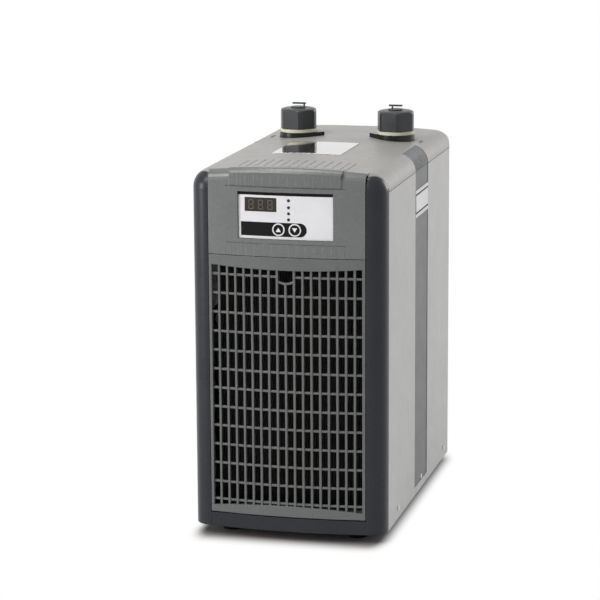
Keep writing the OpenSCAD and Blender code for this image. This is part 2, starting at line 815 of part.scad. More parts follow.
// Rear panel: flat sheet with rows of hooded louvres, a cord gland and the heater outlet's opening
louvre_z = 130;
louvre_h = 5;
hood_out = 3;
rear_top = side_top_z - joint_gap / 2;
rear_half = side_x - rear_r;
gland_x = 84;
gland_z = 62;
gland_r = 9;
outlet_x = 30;
outlet_w = 36;
outlet_h = 27;
module rear_panel() {
    y1 = rear_y;
    color([0.7, 0.7, 0.69]) {
        difference() {
            union() {
                block([-rear_half, y1 - sheet, bezel_z], [rear_half, y1, rear_top]);
                both_sides() block([rear_half - sheet, y1 - 3 * sheet - seat_gap, bezel_z],
                                   [rear_half, y1 - sheet, rear_top]);
            }
            for (i = [0:louvre_count - 1])
                block([-louvre_w / 2, y1 - 2 * sheet, louvre_z + i * louvre_pitch],
                      [louvre_w / 2, y1 + over, louvre_z + i * louvre_pitch + louvre_h]);
            translate([gland_x, y1 + over, gland_z]) rotate([90, 0, 0])
                cylinder(r = gland_r, h = 3 * sheet);
            block([outlet_x - outlet_w / 2, y1 - 2 * sheet, gland_z - outlet_h / 2],
                  [outlet_x + outlet_w / 2, y1 + over, gland_z + outlet_h / 2]);
        }
    }
}

// Rear screws: four pan heads in the corners of the rear panel
module rear_screws() {
    color([0.6, 0.6, 0.6]) for (s = [-1, 1]) for (z = [bezel_z + 2 * rear_r, rear_top - rear_r])
        translate([s * (rear_half - rear_r), rear_y, z]) rotate([-90, 0, 0]) difference() {
            cylinder(r = screw_head_r, h = screw_head_h);
            translate([0, 0, screw_head_h]) {
                cube([screw_head_r, sheet / 2, screw_head_h], center = true);
                cube([sheet / 2, screw_head_r, screw_head_h], center = true);
            }
        }
}

// Cord gland: a flanged bush with an open bore through the rear panel
module cord_gland() {
    color([0.1, 0.1, 0.1])
        translate([gland_x, rear_y + gland_l / 2, gland_z]) rotate([90, 0, 0]) difference() {
        union() {
            cylinder(r = gland_r - seat_gap, h = gland_l);
            cylinder(r = gland_r - 2 * wall + over, h = gland_l + wall);
            translate([0, 0, gland_l / 2 - 2 * sheet]) cylinder(r = gland_r + wall, h = 2 * sheet);
        }
        translate([0, 0, -over]) cylinder(r = gland_bore_r, h = gland_l + wall + 2 * over);
    }
}

// Heater outlet: a recessed two-slot socket for a heater's plug
slot_w = 7;
slot_h = 2.2;
slot_gap = 12.6;
module heater_outlet() {
    color([0.12, 0.12, 0.13]) difference() {
        union() {
            block([outlet_x - outlet_w / 2 - wall, rear_y + seat_gap, gland_z - outlet_h / 2 - wall],
                  [outlet_x + outlet_w / 2 + wall, rear_y + wall, gland_z + outlet_h / 2 + wall]);
            block([outlet_x - outlet_w / 2 + run_gap, rear_y - gland_l, gland_z - outlet_h / 2 + run_gap],
                  [outlet_x + outlet_w / 2 - run_gap, rear_y + wall, gland_z + outlet_h / 2 - run_gap]);
        }
        for (s = [-1, 1])
            block([outlet_x + s * slot_gap / 2 - slot_h / 2, rear_y - gland_l + wall, gland_z - slot_w / 2],
                  [outlet_x + s * slot_gap / 2 + slot_h / 2, rear_y + wall + over, gland_z + slot_w / 2]);
    }
}

// Base pan: a sheet floor with upturned edges that the side and rear panels close round
pan_flange = 20;
pan_in = 16;
pan_front = seam_y + pan_in;
pan_z = bezel_z + bezel_lip_t + seat_gap;
module base_pan() {
    pan_back = rear_y - 3 * sheet - 2 * seat_gap;
    floor_x = pan_x - 2 * sheet;
    corner_y = rear_y - rear_r;
    color([0.6, 0.6, 0.6]) difference() {
        union() {
            block([-floor_x, pan_front, pan_z], [floor_x, pan_back, pan_z + sheet]);
            block([-pan_x, side_y + over, pan_z], [pan_x, corner_y, pan_z + sheet]);
            both_sides() block([pan_x - sheet, side_y + over, pan_z],
                               [pan_x, corner_y, pan_z + pan_flange]);
            block([-floor_x, pan_back - sheet, pan_z], [floor_x, pan_back, pan_z + pan_flange]);
            block([-panel_half, pan_front, pan_z], [panel_half, pan_front + sheet, pan_z + pan_flange]);
        }
        for (y = screw_y) translate([-body_w, y, screw_z]) rotate([0, 90, 0])
            cylinder(r = screw_r + seat_gap / 4, h = 2 * body_w);
        each_foot() cylinder(r = screw_r + seat_gap / 4, h = pan_z + pan_flange);
    }
}

// Feet: four tapered rubber feet with a blind hollow for their screw
module feet() {
    color([0.08, 0.08, 0.08]) each_foot() rotate_extrude() difference() {
        polygon([[0, 0], [foot_floor_r, 0], [foot_r, pan_z], [0, pan_z]]);
        translate([0, -over]) square([screw_head_r + run_gap, pan_z / 2 + over]);
        square([screw_r + seat_gap / 4, 2 * pan_z]);
    }
}
module foot_screws() {
    color([0.6, 0.6, 0.6]) each_foot() {
        translate([0, 0, pan_z / 2 - screw_head_h]) cylinder(r = screw_head_r, h = screw_head_h);
        translate([0, 0, pan_z / 2]) cylinder(r = screw_r, h = pan_z / 2 + 2 * sheet);
    }
}

// Control plate: the pale overlay that lies in the panel's pocket, with openings for the display,
// the lamps and the button strip
display_x = -33.3;
display_z = decal_z + 16.5;
strip_x0 = -60.3;
strip_x1 = 19.8;
strip_z = decal_z - 16;
lamp_x = 4.8;
lamp_z = [for (rise = [22.9, 13.7, 5.6, -2.4]) decal_z + rise];
button_x = [-9.1, 13];
pocket_t = 1.6;
pocket_rim = 3;
plate_back = decal_back + decal_t;
board_in = 4;
board_y = seam_y + board_in;
board_t = 1.6;
seal_top = decal_z + decal_h / 2 + seal_h;
module strip_shape(grow = 0) {
    window(strip_x0 - grow, strip_x1, strip_z - strip_h / 2 - grow, strip_z + strip_h / 2 + grow);
    translate([strip_x1, strip_z]) circle(strip_h / 2 + grow);
}
module display_shape(grow = 0) {
    window(display_x - display_w / 2 - grow, display_x + display_w / 2 + grow,
           display_z - display_h / 2 - grow, display_z + display_h / 2 + grow);
}
module lamp_shapes(r) {
    for (z = lamp_z) translate([lamp_x, z]) circle(r);
}
module button_shapes(r) {
    for (x = button_x) translate([x, strip_z]) circle(r);
}
module pocket() {
    half_w = decal_w / 2 + pocket_rim;
    half_h = decal_h / 2 + pocket_rim;
    top = seal_top + pocket_rim;
    on_bow(wall / 2, plate_back + seat_gap + pocket_t, decal_z - half_h, top) difference() {
        window(-half_w, half_w, decal_z - half_h, top);
        display_shape(-joint_gap);
        lamp_shapes(lens_r + run_gap);
        button_shapes(button_r + run_gap);
    }
}
module control_plate() {
    z0 = decal_z - decal_h / 2;
    color([0.86, 0.86, 0.87]) on_bow(decal_back, plate_back, z0, z0 + decal_h) difference() {
        window(-decal_w / 2, decal_w / 2, z0, z0 + decal_h);
        display_shape(seat_gap);
        lamp_shapes(lens_r + seat_gap);
        strip_shape(seat_gap);
    }
}
// Plate seal: the dark strip that fills the pocket above the control plate
module plate_seal() {
    z0 = decal_z + decal_h / 2 + seat_gap;
    color([0.05, 0.05, 0.05]) on_bow(decal_back, plate_back, z0, seal_top)
        window(-decal_w / 2, decal_w / 2, z0, seal_top);
}
module display_window() {
    color([0.34, 0.31, 0.28]) on_bow(decal_back, plate_back, display_z - display_h, display_z + display_h)
        display_shape();
}
// The seven strokes of each unlit digit, standing a little proud of the window
digit_pitch = 13;
digit_w = 7;
digit_h = 13;
stroke = 1.3;
digit_rise = 0.12;
stroke_w = 1.04;
stroke_end = 1.56;
module digit_shape() {
    for (z = [-1, 0, 1]) translate([0, z * (digit_h - stroke) / 2])
        square([digit_w - 2 * stroke, stroke_w], center = true);
    for (sx = [-1, 1]) for (sz = [-1, 1])
        translate([sx * (digit_w - stroke) / 2, sz * digit_h / 4])
            square([stroke_w, digit_h / 2 - stroke_end], center = true);
}
module display_digits() {
    color([0.5, 0.47, 0.42])
        on_bow(decal_back - digit_rise, decal_back, display_z - display_h, display_z + display_h)
            for (i = [-1:1]) translate([display_x + i * digit_pitch, display_z]) digit_shape();
}
module indicator_lenses() {
    color([0.1, 0.1, 0.1])
        on_bow(decal_back - seat_gap, plate_back + pocket_t, decal_z - decal_h, decal_z + decal_h)
            lamp_shapes(lens_r);
}
module button_strip() {
    color([0.07, 0.07, 0.08]) on_bow(decal_back, plate_back, strip_z - strip_h,
                                     strip_z + strip_h) difference() {
        strip_shape();
        button_shapes(button_ring_r + seat_gap);
    }
}
module button_rings() {
    color([0.8, 0.8, 0.8])
        on_bow(decal_back - seat_gap, plate_back, strip_z - strip_h, strip_z + strip_h) difference() {
            button_shapes(button_ring_r);
            button_shapes(button_r + run_gap);
        }
}
// A push button: a flat cap with a stem that ends just ahead of its switch
cap_t = 2;
switch_h = 2.4;
stem_r = 2;
cap_rise = 0.6;
module push_button(x) {
    front = bow_at(x) + decal_back - cap_rise;
    translate([x, 0, strip_z]) {
        translate([0, front + cap_t, 0]) rotate([90, 0, 0]) cylinder(r = button_r, h = cap_t);
        translate([0, board_y - switch_h - button_travel - seat_gap, 0]) rotate([90, 0, 0])
            cylinder(r = stem_r, h = board_y - switch_h - button_travel - seat_gap - front - cap_t / 2);
    }
}
mark_h = 5.8;
mark_half = 3.5;
module arrow_on(x, way) {
    front = bow_at(x) + decal_back - cap_rise;
    slab_y(front - digit_rise, front) translate([x, strip_z])
        polygon([[-mark_half, -way * mark_h / 2], [mark_half, -way * mark_h / 2], [0, way * mark_h / 2]]);
}
module up_button() {
    color([0.12, 0.12, 0.13]) push_button(button_x[0]);
}
module down_button() {
    color([0.12, 0.12, 0.13]) push_button(button_x[1]);
}
module up_arrow() {
    color([0.75, 0.75, 0.75]) arrow_on(button_x[0], 1);
}
module down_arrow() {
    color([0.75, 0.75, 0.75]) arrow_on(button_x[1], -1);
}

// Control board with its switches, lamps and a connector, on four posts of the pocket's back
board_margin = 5;
module control_board() {
    half_w = decal_w / 2 - board_margin;
    half_h = decal_h / 2 - board_margin;
    color([0.05, 0.3, 0.15]) {
        block([-half_w, board_y, decal_z - half_h], [half_w, board_y + board_t, decal_z + half_h]);
        for (x = button_x)
            block([x - 2 * stem_r, board_y - switch_h, strip_z - 2 * stem_r],
                  [x + 2 * stem_r, board_y, strip_z + 2 * stem_r]);
        for (z = lamp_z) translate([lamp_x, board_y, z]) rotate([90, 0, 0])
            cylinder(r = lens_r, h = board_y - bow_at(lamp_x) - plate_back - pocket_t - seat_gap);
        block([half_w - 6 * board_t, board_y + board_t, decal_z - 4 * board_t],
              [half_w - 2 * board_t, board_y + 5 * board_t, decal_z + 4 * board_t]);
        for (sx = [-1, 1]) for (sz = [-1, 1]) {
            x = sx * (half_w - board_margin);
            translate([x, board_y, decal_z + sz * (half_h - board_margin)]) rotate([90, 0, 0])
                cylinder(r = stem_r,
                         h = board_y - bow_at(abs(x) + stem_r) - plate_back - pocket_t - 2 * seat_gap);
        }
    }
}
module display_block() {
    half_w = display_w / 2 - 5 * joint_gap;
    half_h = display_h / 2 - 2 * joint_gap;
    color([0.05, 0.05, 0.05])
        block([display_x - half_w, bow_at(display_x - half_w) + plate_back + seat_gap, display_z - half_h],
              [display_x + half_w, board_y, display_z + half_h]);
}

// Water ports: teardrop bases, pale rings, union nuts with a rounded shoulder and transport plugs
ring_z = port_base_top + seat_gap;
nut_z = ring_z + ring_h + seat_gap;
nut_top = nut_z + nut_h;
nut_round = 53;
nut_turn = -10;
shoulder_h = 4.4;
shoulder_r = 16;
shoulder_steps = 6;
neck_top = nut_top - 2 * wall;
plug_head_z = nut_top + plug_rise;
tab_gap = 3.6;
module port_bases() {
    color([0.14, 0.15, 0.17]) difference() {
        translate([0, 0, port_foot_z]) linear_extrude(port_base_top - port_foot_z) port_plan();
        both_ports() cylinder(r = neck_r + run_gap, h = 2 * body_h);
    }
}
module port_rings() {
    color([0.8, 0.78, 0.68]) both_ports() translate([0, 0, ring_z]) difference() {
        cylinder(r = ring_r, h = ring_h);
        translate([0, 0, -over]) cylinder(r = neck_r + run_gap, h = ring_h + 2 * over);
    }
}
module union_nut(x) {
    color([0.24, 0.24, 0.25]) translate([x, port_y, nut_z]) difference() {
        intersection() {
            rotate(nut_turn) cylinder(r = nut_af / sqrt(3), h = nut_h, $fn = 6);
            rotate_extrude() polygon(concat([[0, 0], [nut_round / 2, 0]], [for (i = [0:shoulder_steps])
                let (a = 90 * i / shoulder_steps) [shoulder_r + (nut_round / 2 - shoulder_r) * cos(a),
                                                   nut_h - shoulder_h * (1 - sin(a))]], [[0, nut_h]]));
        }
        translate([0, 0, -over]) cylinder(r = neck_r + run_gap, h = nut_h - wall + over);
        cylinder(r = spigot_r, h = nut_h + over);
    }
}
module left_nut() {
    union_nut(left_port_x);
}
module right_nut() {
    union_nut(right_port_x);
}
module port_plug(x, stem_at, bar_at) {
    color([0.2, 0.2, 0.21]) translate([x, port_y, 0]) {
        translate([0, 0, plug_head_z - plug_travel]) cylinder(r = port_bore_r - run_gap, h = plug_travel);
        translate([0, 0, neck_top + seat_gap])
            cylinder(r = spigot_r - run_gap, h = plug_head_z - neck_top - seat_gap);
        translate([stem_at, 0, plug_head_z - over]) cylinder(r = tab_t / 2, h = tab_gap + over + tab_t / 2);
        translate([bar_at, 0, plug_head_z + tab_gap + tab_t / 2])
            cube([tab_l, 2 * tab_t, tab_t], center = true);
    }
}
module left_plug() {
    port_plug(left_port_x, tab_l / 2 - tab_t / 2, tab_t / 2);
}
module right_plug() {
    port_plug(right_port_x, -tab_l / 4, 0);
}

// Flow arrows: small raised marks beside the ports, one pointing in and one pointing out
arrow_in = 18;
arrow_x = side_x - arrow_in;
arrow_l = 24;
arrow_w = 5;
arrow_rise = 0.3;
module flow_arrows() {
    color([0.3, 0.3, 0.3]) on_top(seat_gap, seat_gap + arrow_rise) for (s = [-1, 1])
        translate([s > 0 ? arrow_x : port_mid - arrow_x + arrow_w, port_y]) polygon([
            [-arrow_w / 5, -s * arrow_l / 2], [arrow_w / 5, -s * arrow_l / 2], [arrow_w / 5, 0],
            [arrow_w / 2, 0], [0, s * arrow_l / 2], [-arrow_w / 2, 0], [-arrow_w / 5, 0]]);
}

// Condenser: upright fins, a serpentine tube behind them and two end sheets
condenser_back = 22;
condenser_y = seam_y + condenser_back;
condenser_z = 40;
tube_r = 4;
tube_pitch = 40;
tube_count = 8;
tube_y = condenser_y + fin_d + tube_r + seat_gap;
end_x = condenser_w / 2 + sheet;
module condenser_fins() {
    color([0.1, 0.1, 0.1]) for (i = [0:fin_count - 1]) {
        x = -condenser_w / 2 + sheet + i * (condenser_w - 2 * sheet) / (fin_count - 1);
        block([x - fin_t / 2, condenser_y, condenser_z],
              [x + fin_t / 2, condenser_y + fin_d, condenser_z + condenser_h]);
    }
}
module condenser_tubes() {
    z0 = condenser_z + (condenser_h - (tube_count - 1) * tube_pitch) / 2;
    color([0.65, 0.4, 0.25]) for (i = [0:tube_count - 1]) {
        z = z0 + i * tube_pitch;
        translate([-end_x - sheet, tube_y, z]) rotate([0, 90, 0])
            cylinder(r = tube_r, h = 2 * (end_x + sheet));
        if (i < tube_count - 1) {
            s = i % 2 == 0 ? 1 : -1;
            translate([s * (end_x + sheet), tube_y, z + tube_pitch / 2]) intersection() {
                rotate([90, 0, 0]) rotate_extrude($fn = 32)
                    translate([tube_pitch / 2, 0]) circle(tube_r, $fn = 24);
                translate([s * tube_pitch, 0, 0]) cube(2 * tube_pitch, center = true);
            }
        }
    }
}
module condenser_ends() {
    z0 = condenser_z + (condenser_h - (tube_count - 1) * tube_pitch) / 2;
    color([0.6, 0.6, 0.6]) difference() {
        both_sides() {
            block([end_x, condenser_y, pan_z + sheet],
                  [end_x + sheet, tube_y + 2 * tube_r, condenser_z + condenser_h]);
            block([end_x, condenser_y, pan_z + sheet],
                  [end_x + 8 * sheet, tube_y + 2 * tube_r, pan_z + 2 * sheet]);
        }
        for (i = [0:tube_count - 1]) translate([-body_w, tube_y, z0 + i * tube_pitch]) rotate([0, 90, 0])
            cylinder(r = tube_r + seat_gap / 2, h = 2 * body_w);
    }
}

// Fan: a shroud behind the condenser, five pitched blades on a hub and shaft, and a motor on a bracket
fan_z = condenser_z + condenser_h / 2;
shroud_y = tube_y + 2 * tube_r + seat_gap;
ring_y = shroud_y + 3 * sheet;
ring_l = 30;
hub_r = 24;
hub_h = 18;
blade_t = 2;
blade_pitch = 30;
blade_l = 50;
fan_y = ring_y + ring_l / 2;
motor_gap = 10;
motor_y = ring_y + ring_l + motor_gap;
motor_l = 46;
arm_w = 14;
module fan_shroud() {
    color([0.15, 0.15, 0.15]) difference() {
        union() {
            block([-end_x - sheet, shroud_y, condenser_z],
                  [end_x + sheet, ring_y, condenser_z + condenser_h]);
            translate([0, ring_y + ring_l, fan_z]) rotate([90, 0, 0])
                cylinder(r = fan_r + 2 * wall, h = ring_l + over);
        }
        translate([0, ring_y + ring_l + over, fan_z]) rotate([90, 0, 0])
            cylinder(r = fan_r + wall, h = ring_l + 6 * sheet + 2 * over);
    }
}
module fan_blades() {
    color([0.1, 0.1, 0.1]) translate([0, fan_y, fan_z]) rotate([-90, 0, 0]) {
        translate([0, 0, -hub_h / 2]) cylinder(r = hub_r, h = hub_h);
        cylinder(r = shaft_r, h = motor_y - fan_y + motor_l / 2);
        intersection() {
            for (i = [0:blade_count - 1]) rotate(i * 360 / blade_count)
                translate([hub_r - wall, 0, 0]) rotate([blade_pitch, 0, 0])
                    translate([0, -blade_l / 2, -blade_t / 2]) cube([fan_r, blade_l, blade_t]);
            translate([0, 0, -ring_l / 2]) cylinder(r = fan_r, h = ring_l);
        }
    }
}
module fan_motor() {
    color([0.4, 0.4, 0.42]) translate([0, motor_y, fan_z]) rotate([-90, 0, 0]) difference() {
        union() {
            cylinder(r = motor_r, h = motor_l);
            translate([0, 0, -2 * wall]) cylinder(r = 3 * shaft_r, h = 3 * wall);
        }
        translate([0, 0, -3 * wall]) cylinder(r = shaft_r + shaft_gap, h = motor_l / 2 + 4 * wall);
    }
}
shaft_gap = 0.05;
module fan_bracket() {
    y0 = motor_y + motor_l / 2;
    half = fan_r + 2 * wall;
    color([0.55, 0.55, 0.55]) {
        difference() {
            union() {
                for (z = [-1, 1]) block([-half, y0, fan_z + z * motor_r / 2 - arm_w / 2],
                                        [half, y0 + 2 * sheet, fan_z + z * motor_r / 2 + arm_w / 2]);
                translate([0, y0 + 2 * sheet, fan_z]) rotate([90, 0, 0])
                    cylinder(r = motor_r + arm_w / 2, h = 2 * sheet);
            }
            translate([0, y0 + 3 * sheet, fan_z]) rotate([90, 0, 0])
                cylinder(r = motor_r + seat_gap / 2, h = 4 * sheet);
        }
        both_sides() for (z = [-1, 1])
            block([half, ring_y + seat_gap, fan_z + z * motor_r / 2 - arm_w / 2],
                  [half + 2 * sheet, y0 + 2 * sheet, fan_z + z * motor_r / 2 + arm_w / 2]);
    }
}

// Compressor: a welded hermetic shell on a base plate with rubber grommets and a terminal cover
compressor_x = -38;
compressor_fore = 138.7;
compressor_y = rear_y - compressor_fore;
grommet_h = 12;
grommet_r = 9;
stud_r = 3;
base_t = 3;
base_half = 58;
grommet_z = pan_z + sheet;
shell_z = grommet_z + grommet_h + base_t;
shell_turn = 28;
module compressor() {
    color([0.08, 0.08, 0.08]) translate([compressor_x, compressor_y, shell_z]) {
        rotate_extrude() {
            square([compressor_r - shell_turn, compressor_h]);
            translate([0, shell_turn]) square([compressor_r, compressor_h - 2 * shell_turn]);
            translate([compressor_r - shell_turn, compressor_h - shell_turn]) quarter(shell_turn);
            translate([compressor_r - shell_turn, shell_turn]) mirror([0, 1]) quarter(shell_turn);
        }
        translate([0, 0, compressor_h / 2]) cylinder(r = compressor_r + wall, h = 2 * wall);
    }
}
module compressor_base() {
    color([0.15, 0.15, 0.15]) translate([compressor_x, compressor_y, shell_z - base_t]) difference() {
        block([-base_half, -base_half, 0], [base_half, base_half, base_t]);
        for (sx = [-1, 1]) for (sy = [-1, 1])
            translate([sx * (base_half - grommet_r), sy * (base_half - grommet_r), -over])
                cylinder(r = stud_r + run_gap, h = base_t + 2 * over);
    }
}
module compressor_grommets() {
    color([0.05, 0.05, 0.05]) for (sx = [-1, 1]) for (sy = [-1, 1])
        translate([compressor_x + sx * (base_half - grommet_r),
                   compressor_y + sy * (base_half - grommet_r), grommet_z]) {
            cylinder(r = grommet_r, h = grommet_h);
            cylinder(r = stud_r, h = grommet_h + 3 * base_t);
        }
}
terminal_w = 40;
terminal_h = 50;
module terminal_cover() {
    color([0.1, 0.1, 0.1])
        translate([compressor_x, compressor_y, shell_z + compressor_h / 2 - terminal_h - 2 * wall])
        difference() {
            block([compressor_r - 4 * wall, -terminal_w / 2, 0],
                  [compressor_r + 4 * wall, terminal_w / 2, terminal_h]);
            translate([0, 0, -over]) cylinder(r = compressor_r + seat_gap, h = terminal_h + 2 * over);
        }
}

// Heat exchanger: a horizontal vessel under the ports, with two open necks up through the cover
vessel_drop = 113.2;
vessel_z = body_h - vessel_drop;
cap_w = 14;
module heat_exchanger() {
    color([0.2, 0.2, 0.22]) difference() {
        union() {
            translate([-vessel_l / 2, port_y, vessel_z]) rotate([0, 90, 0])
                cylinder(r = vessel_r, h = vessel_l);
            for (s = [-1, 1]) translate([s * (vessel_l - cap_w) / 2, port_y, vessel_z]) rotate([0, 90, 0])
                cylinder(r = vessel_r + wall, h = cap_w, center = true);
            both_ports() translate([0, 0, vessel_z]) cylinder(r = neck_r, h = neck_top - vessel_z);
        }
        translate([-vessel_l / 2 + 2 * wall, port_y, vessel_z]) rotate([0, 90, 0])
            cylinder(r = vessel_r - 2 * wall, h = vessel_l - 4 * wall);
        both_ports() translate([0, 0, vessel_z]) cylinder(r = port_bore_r, h = body_h);
    }
}
// Titanium coil: turns of refrigerant tube inside the vessel
coil_turns = 5;
coil_pitch = 28;
coil_r = 34;
module titanium_coil() {
    color([0.6, 0.6, 0.62]) {
        for (i = [0:coil_turns - 1])
            translate([(i - (coil_turns - 1) / 2) * coil_pitch, port_y, vessel_z]) rotate([0, 90, 0])
                rotate_extrude($fn = 48) translate([coil_r, 0]) circle(tube_r, $fn = 24);
        translate([-vessel_l / 2 + 2 * wall + seat_gap, port_y, vessel_z - coil_r]) rotate([0, 90, 0])
            cylinder(r = tube_r / 2, h = vessel_l - 4 * wall - 2 * seat_gap);
    }
}
// Cradle: a shelf on four posts that carries the vessel
shelf_z = vessel_z - vessel_r - wall - 2 * sheet - seat_gap;
post_in = 24.5;
post_x = side_x - post_in;
post_w = 9;
post_dy = 52;
module vessel_cradle() {
    color([0.6, 0.6, 0.6]) {
        block([-post_x, port_y - post_dy, shelf_z], [post_x, port_y + post_dy, shelf_z + 2 * sheet]);
        both_sides() for (s = [-1, 1])
            block([post_x - post_w, port_y + s * post_dy - post_w / 2, pan_z + sheet],
                  [post_x, port_y + s * post_dy + post_w / 2, shelf_z + 2 * sheet]);
        both_sides() difference() {
            block([vessel_l / 2 - 3 * cap_w, port_y - vessel_r, shelf_z],
                  [vessel_l / 2 - 2 * cap_w, port_y + vessel_r, vessel_z - vessel_r / 2]);
            translate([0, port_y, vessel_z]) rotate([0, 90, 0])
                cylinder(r = vessel_r + seat_gap, h = body_w);
        }
    }
}

// A pipe along a list of points, with a soldered joint at each bend
bead = 1.25;
bead_turn = [33, 17, 51];
module pipe(points, r) {
    for (i = [0:len(points) - 2]) {
        d = points[i + 1] - points[i];
        translate(points[i]) rotate([0, acos(d[2] / norm(d)), atan2(d[1], d[0])])
            cylinder(r = r, h = norm(d), $fn = 24);
    }
    for (i = [1:len(points) - 2]) translate(points[i]) rotate(bead_turn) sphere(r * bead, $fn = 24);
}
line_r = 3;
tube_z0 = condenser_z + (condenser_h - (tube_count - 1) * tube_pitch) / 2;
tube_z1 = tube_z0 + (tube_count - 1) * tube_pitch;
tube_end = end_x + sheet;
drier_z = 150;
drier_h = 70;
drier_r = 11;
drier_in = 20.5;
drier_x = side_x - drier_in;
drier_share = 0.414;
drier_y = seam_y + drier_share * inner_d;
// The lines leave the compressor, the pan and the vessel at these distances from their middles
line_out = 20;
line_low = 12;
line_apart = 24;
line_fore = 60;
line_bend = 70;
module refrigerant_lines() {
    top = shell_z + compressor_h;
    rise = top + (shelf_z - top) * 2 / 3;
    low = top + (shelf_z - top) / 3;
    color([0.65, 0.4, 0.25]) {
        pipe([[compressor_x - line_out, compressor_y, top - seat_gap / 2],
              [compressor_x - line_out, compressor_y, rise],
              [compressor_x - line_out, compressor_y - line_fore, rise],
              [-tube_end - 2 * tube_r, compressor_y - line_fore, rise],
              [-tube_end - 2 * tube_r, compressor_y - line_fore, tube_z1],
              [-tube_end - 2 * tube_r, tube_y, tube_z1], [-tube_end, tube_y, tube_z1]], line_r);
        pipe([[-tube_end, tube_y, tube_z0], [-tube_end - 2 * tube_r, tube_y, tube_z0],
              [-tube_end - 2 * tube_r, tube_y, pan_z + line_low],
              [-tube_end - 2 * tube_r, drier_y, pan_z + line_low],
              [drier_x, drier_y, pan_z + line_low], [drier_x, drier_y, drier_z - drier_r]], line_r);
        pipe([[drier_x, drier_y, drier_z + drier_h + drier_r], [drier_x, drier_y, vessel_z - line_apart],
              [drier_x, port_y, vessel_z - line_apart],
              [vessel_l / 2 + seat_gap, port_y, vessel_z - line_apart]], line_r);
        pipe([[vessel_l / 2 + seat_gap, port_y, vessel_z + line_apart],
              [drier_x, port_y, vessel_z + line_apart],
              [drier_x, port_y - line_bend, vessel_z + line_apart], [drier_x, port_y - line_bend, low],
              [compressor_x + line_out, port_y - line_bend, low],
              [compressor_x + line_out, compressor_y, low],
              [compressor_x + line_out, compressor_y, top - seat_gap / 2]], line_r);
    }
}
module filter_drier() {
    color([0.7, 0.45, 0.25]) translate([drier_x, drier_y, drier_z]) difference() {
        union() {
            cylinder(r = drier_r, h = drier_h);
            translate([0, 0, -drier_r]) cylinder(r1 = line_r + sheet, r2 = drier_r, h = drier_r);
            translate([0, 0, drier_h]) cylinder(r1 = drier_r, r2 = line_r + sheet, h = drier_r);
        }
        for (z = [-drier_r - over, drier_h + drier_r / 2]) translate([0, 0, z])
            cylinder(r = line_r + seat_gap / 4, h = drier_r / 2 + over);
    }
}
// Water sensor: a probe in a dry pocket on the vessel's top
sensor_r = 5;
sensor_h = 12;
sensor_base_h = 3;
module water_sensor() {
    color([0.75, 0.75, 0.75]) translate([0, port_y, vessel_z + vessel_r + seat_gap / 4]) {
        cylinder(r = sensor_r, h = sensor_h);
        cylinder(r = 2 * sensor_r, h = sensor_base_h);
    }
}
// Supply box: the switching supply and its terminal row
box_gap = 15;
box_in = 41.5;
box_x0 = compressor_x + compressor_r + box_gap;
box_x1 = side_x - box_in;
box_fore = 128.7;
box_y = rear_y - box_fore;
box_l = 90;
box_h = 70;
terminal_count = 5;
terminal_r = 3;
module supply_box() {
    pitch = (box_x1 - box_x0) / (terminal_count + 1);
    color([0.65, 0.65, 0.66]) {
        block([box_x0, box_y - box_l / 2, pan_z + sheet], [box_x1, box_y + box_l / 2, box_h]);
        for (i = [1:terminal_count]) translate([box_x0 + i * pitch, box_y, box_h - over])
            cylinder(r = min(terminal_r, pitch / 3), h = 4 * over);
    }
}

front_bezel();
control_panel();
grille_panel();
top_cover();
side_panel_left();
side_panel_right();
side_strips();
cover_grips();
rear_panel();
base_pan();
feet();
foot_screws();
side_screws();
rear_screws();
plate_frame();
plate_border();
blank_plate();
top_label();
control_plate();
plate_seal();
display_window();
display_digits();
indicator_lenses();
button_strip();
button_rings();
up_button();
up_arrow();
down_button();
down_arrow();
control_board();
display_block();
port_bases();
port_rings();
left_nut();
right_nut();
left_plug();
right_plug();
flow_arrows();
condenser_fins();
condenser_tubes();
condenser_ends();
fan_shroud();
fan_blades();
fan_motor();
fan_bracket();
compressor();
compressor_base();
compressor_grommets();
terminal_cover();
heat_exchanger();
titanium_coil();
vessel_cradle();
refrigerant_lines();
filter_drier();
water_sensor();
supply_box();
cord_gland();
heater_outlet();
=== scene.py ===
# Aquarium chiller: the looks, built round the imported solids
import json
import math

import bmesh
import bpy
from mathutils import Matrix, Vector


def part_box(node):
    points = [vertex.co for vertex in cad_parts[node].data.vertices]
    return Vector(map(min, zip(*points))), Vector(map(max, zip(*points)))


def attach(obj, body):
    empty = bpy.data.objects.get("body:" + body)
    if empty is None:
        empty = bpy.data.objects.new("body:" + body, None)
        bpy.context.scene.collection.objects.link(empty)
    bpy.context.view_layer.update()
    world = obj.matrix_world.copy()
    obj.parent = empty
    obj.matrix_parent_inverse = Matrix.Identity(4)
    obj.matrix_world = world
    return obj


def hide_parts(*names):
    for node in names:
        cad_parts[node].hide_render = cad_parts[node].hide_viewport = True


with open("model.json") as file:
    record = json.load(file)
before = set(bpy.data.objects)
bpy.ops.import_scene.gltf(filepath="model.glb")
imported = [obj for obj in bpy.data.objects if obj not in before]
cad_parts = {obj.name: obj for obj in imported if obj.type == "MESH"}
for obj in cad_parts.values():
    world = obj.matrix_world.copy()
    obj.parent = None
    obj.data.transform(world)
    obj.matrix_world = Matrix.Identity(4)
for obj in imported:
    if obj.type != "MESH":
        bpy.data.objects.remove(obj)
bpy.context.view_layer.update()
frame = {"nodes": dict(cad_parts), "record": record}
NODES = frame["nodes"]
MM = 0.001
WHITE = "ffffff"

# Camera, in metres and pixels: fitted to the photograph's straight edges
SENSOR = 36.0
PHOTO_SIZE = 600
CAMERA_PLACE = (0.8056, -3.3590, 0.9938)
CAMERA_FOCAL_PX = 2502.19
CAMERA_YAW = math.radians(14.119)
CAMERA_DIP = math.radians(11.626)
CAMERA_ROLL = math.radians(-0.322)
CAMERA_FAR = 50


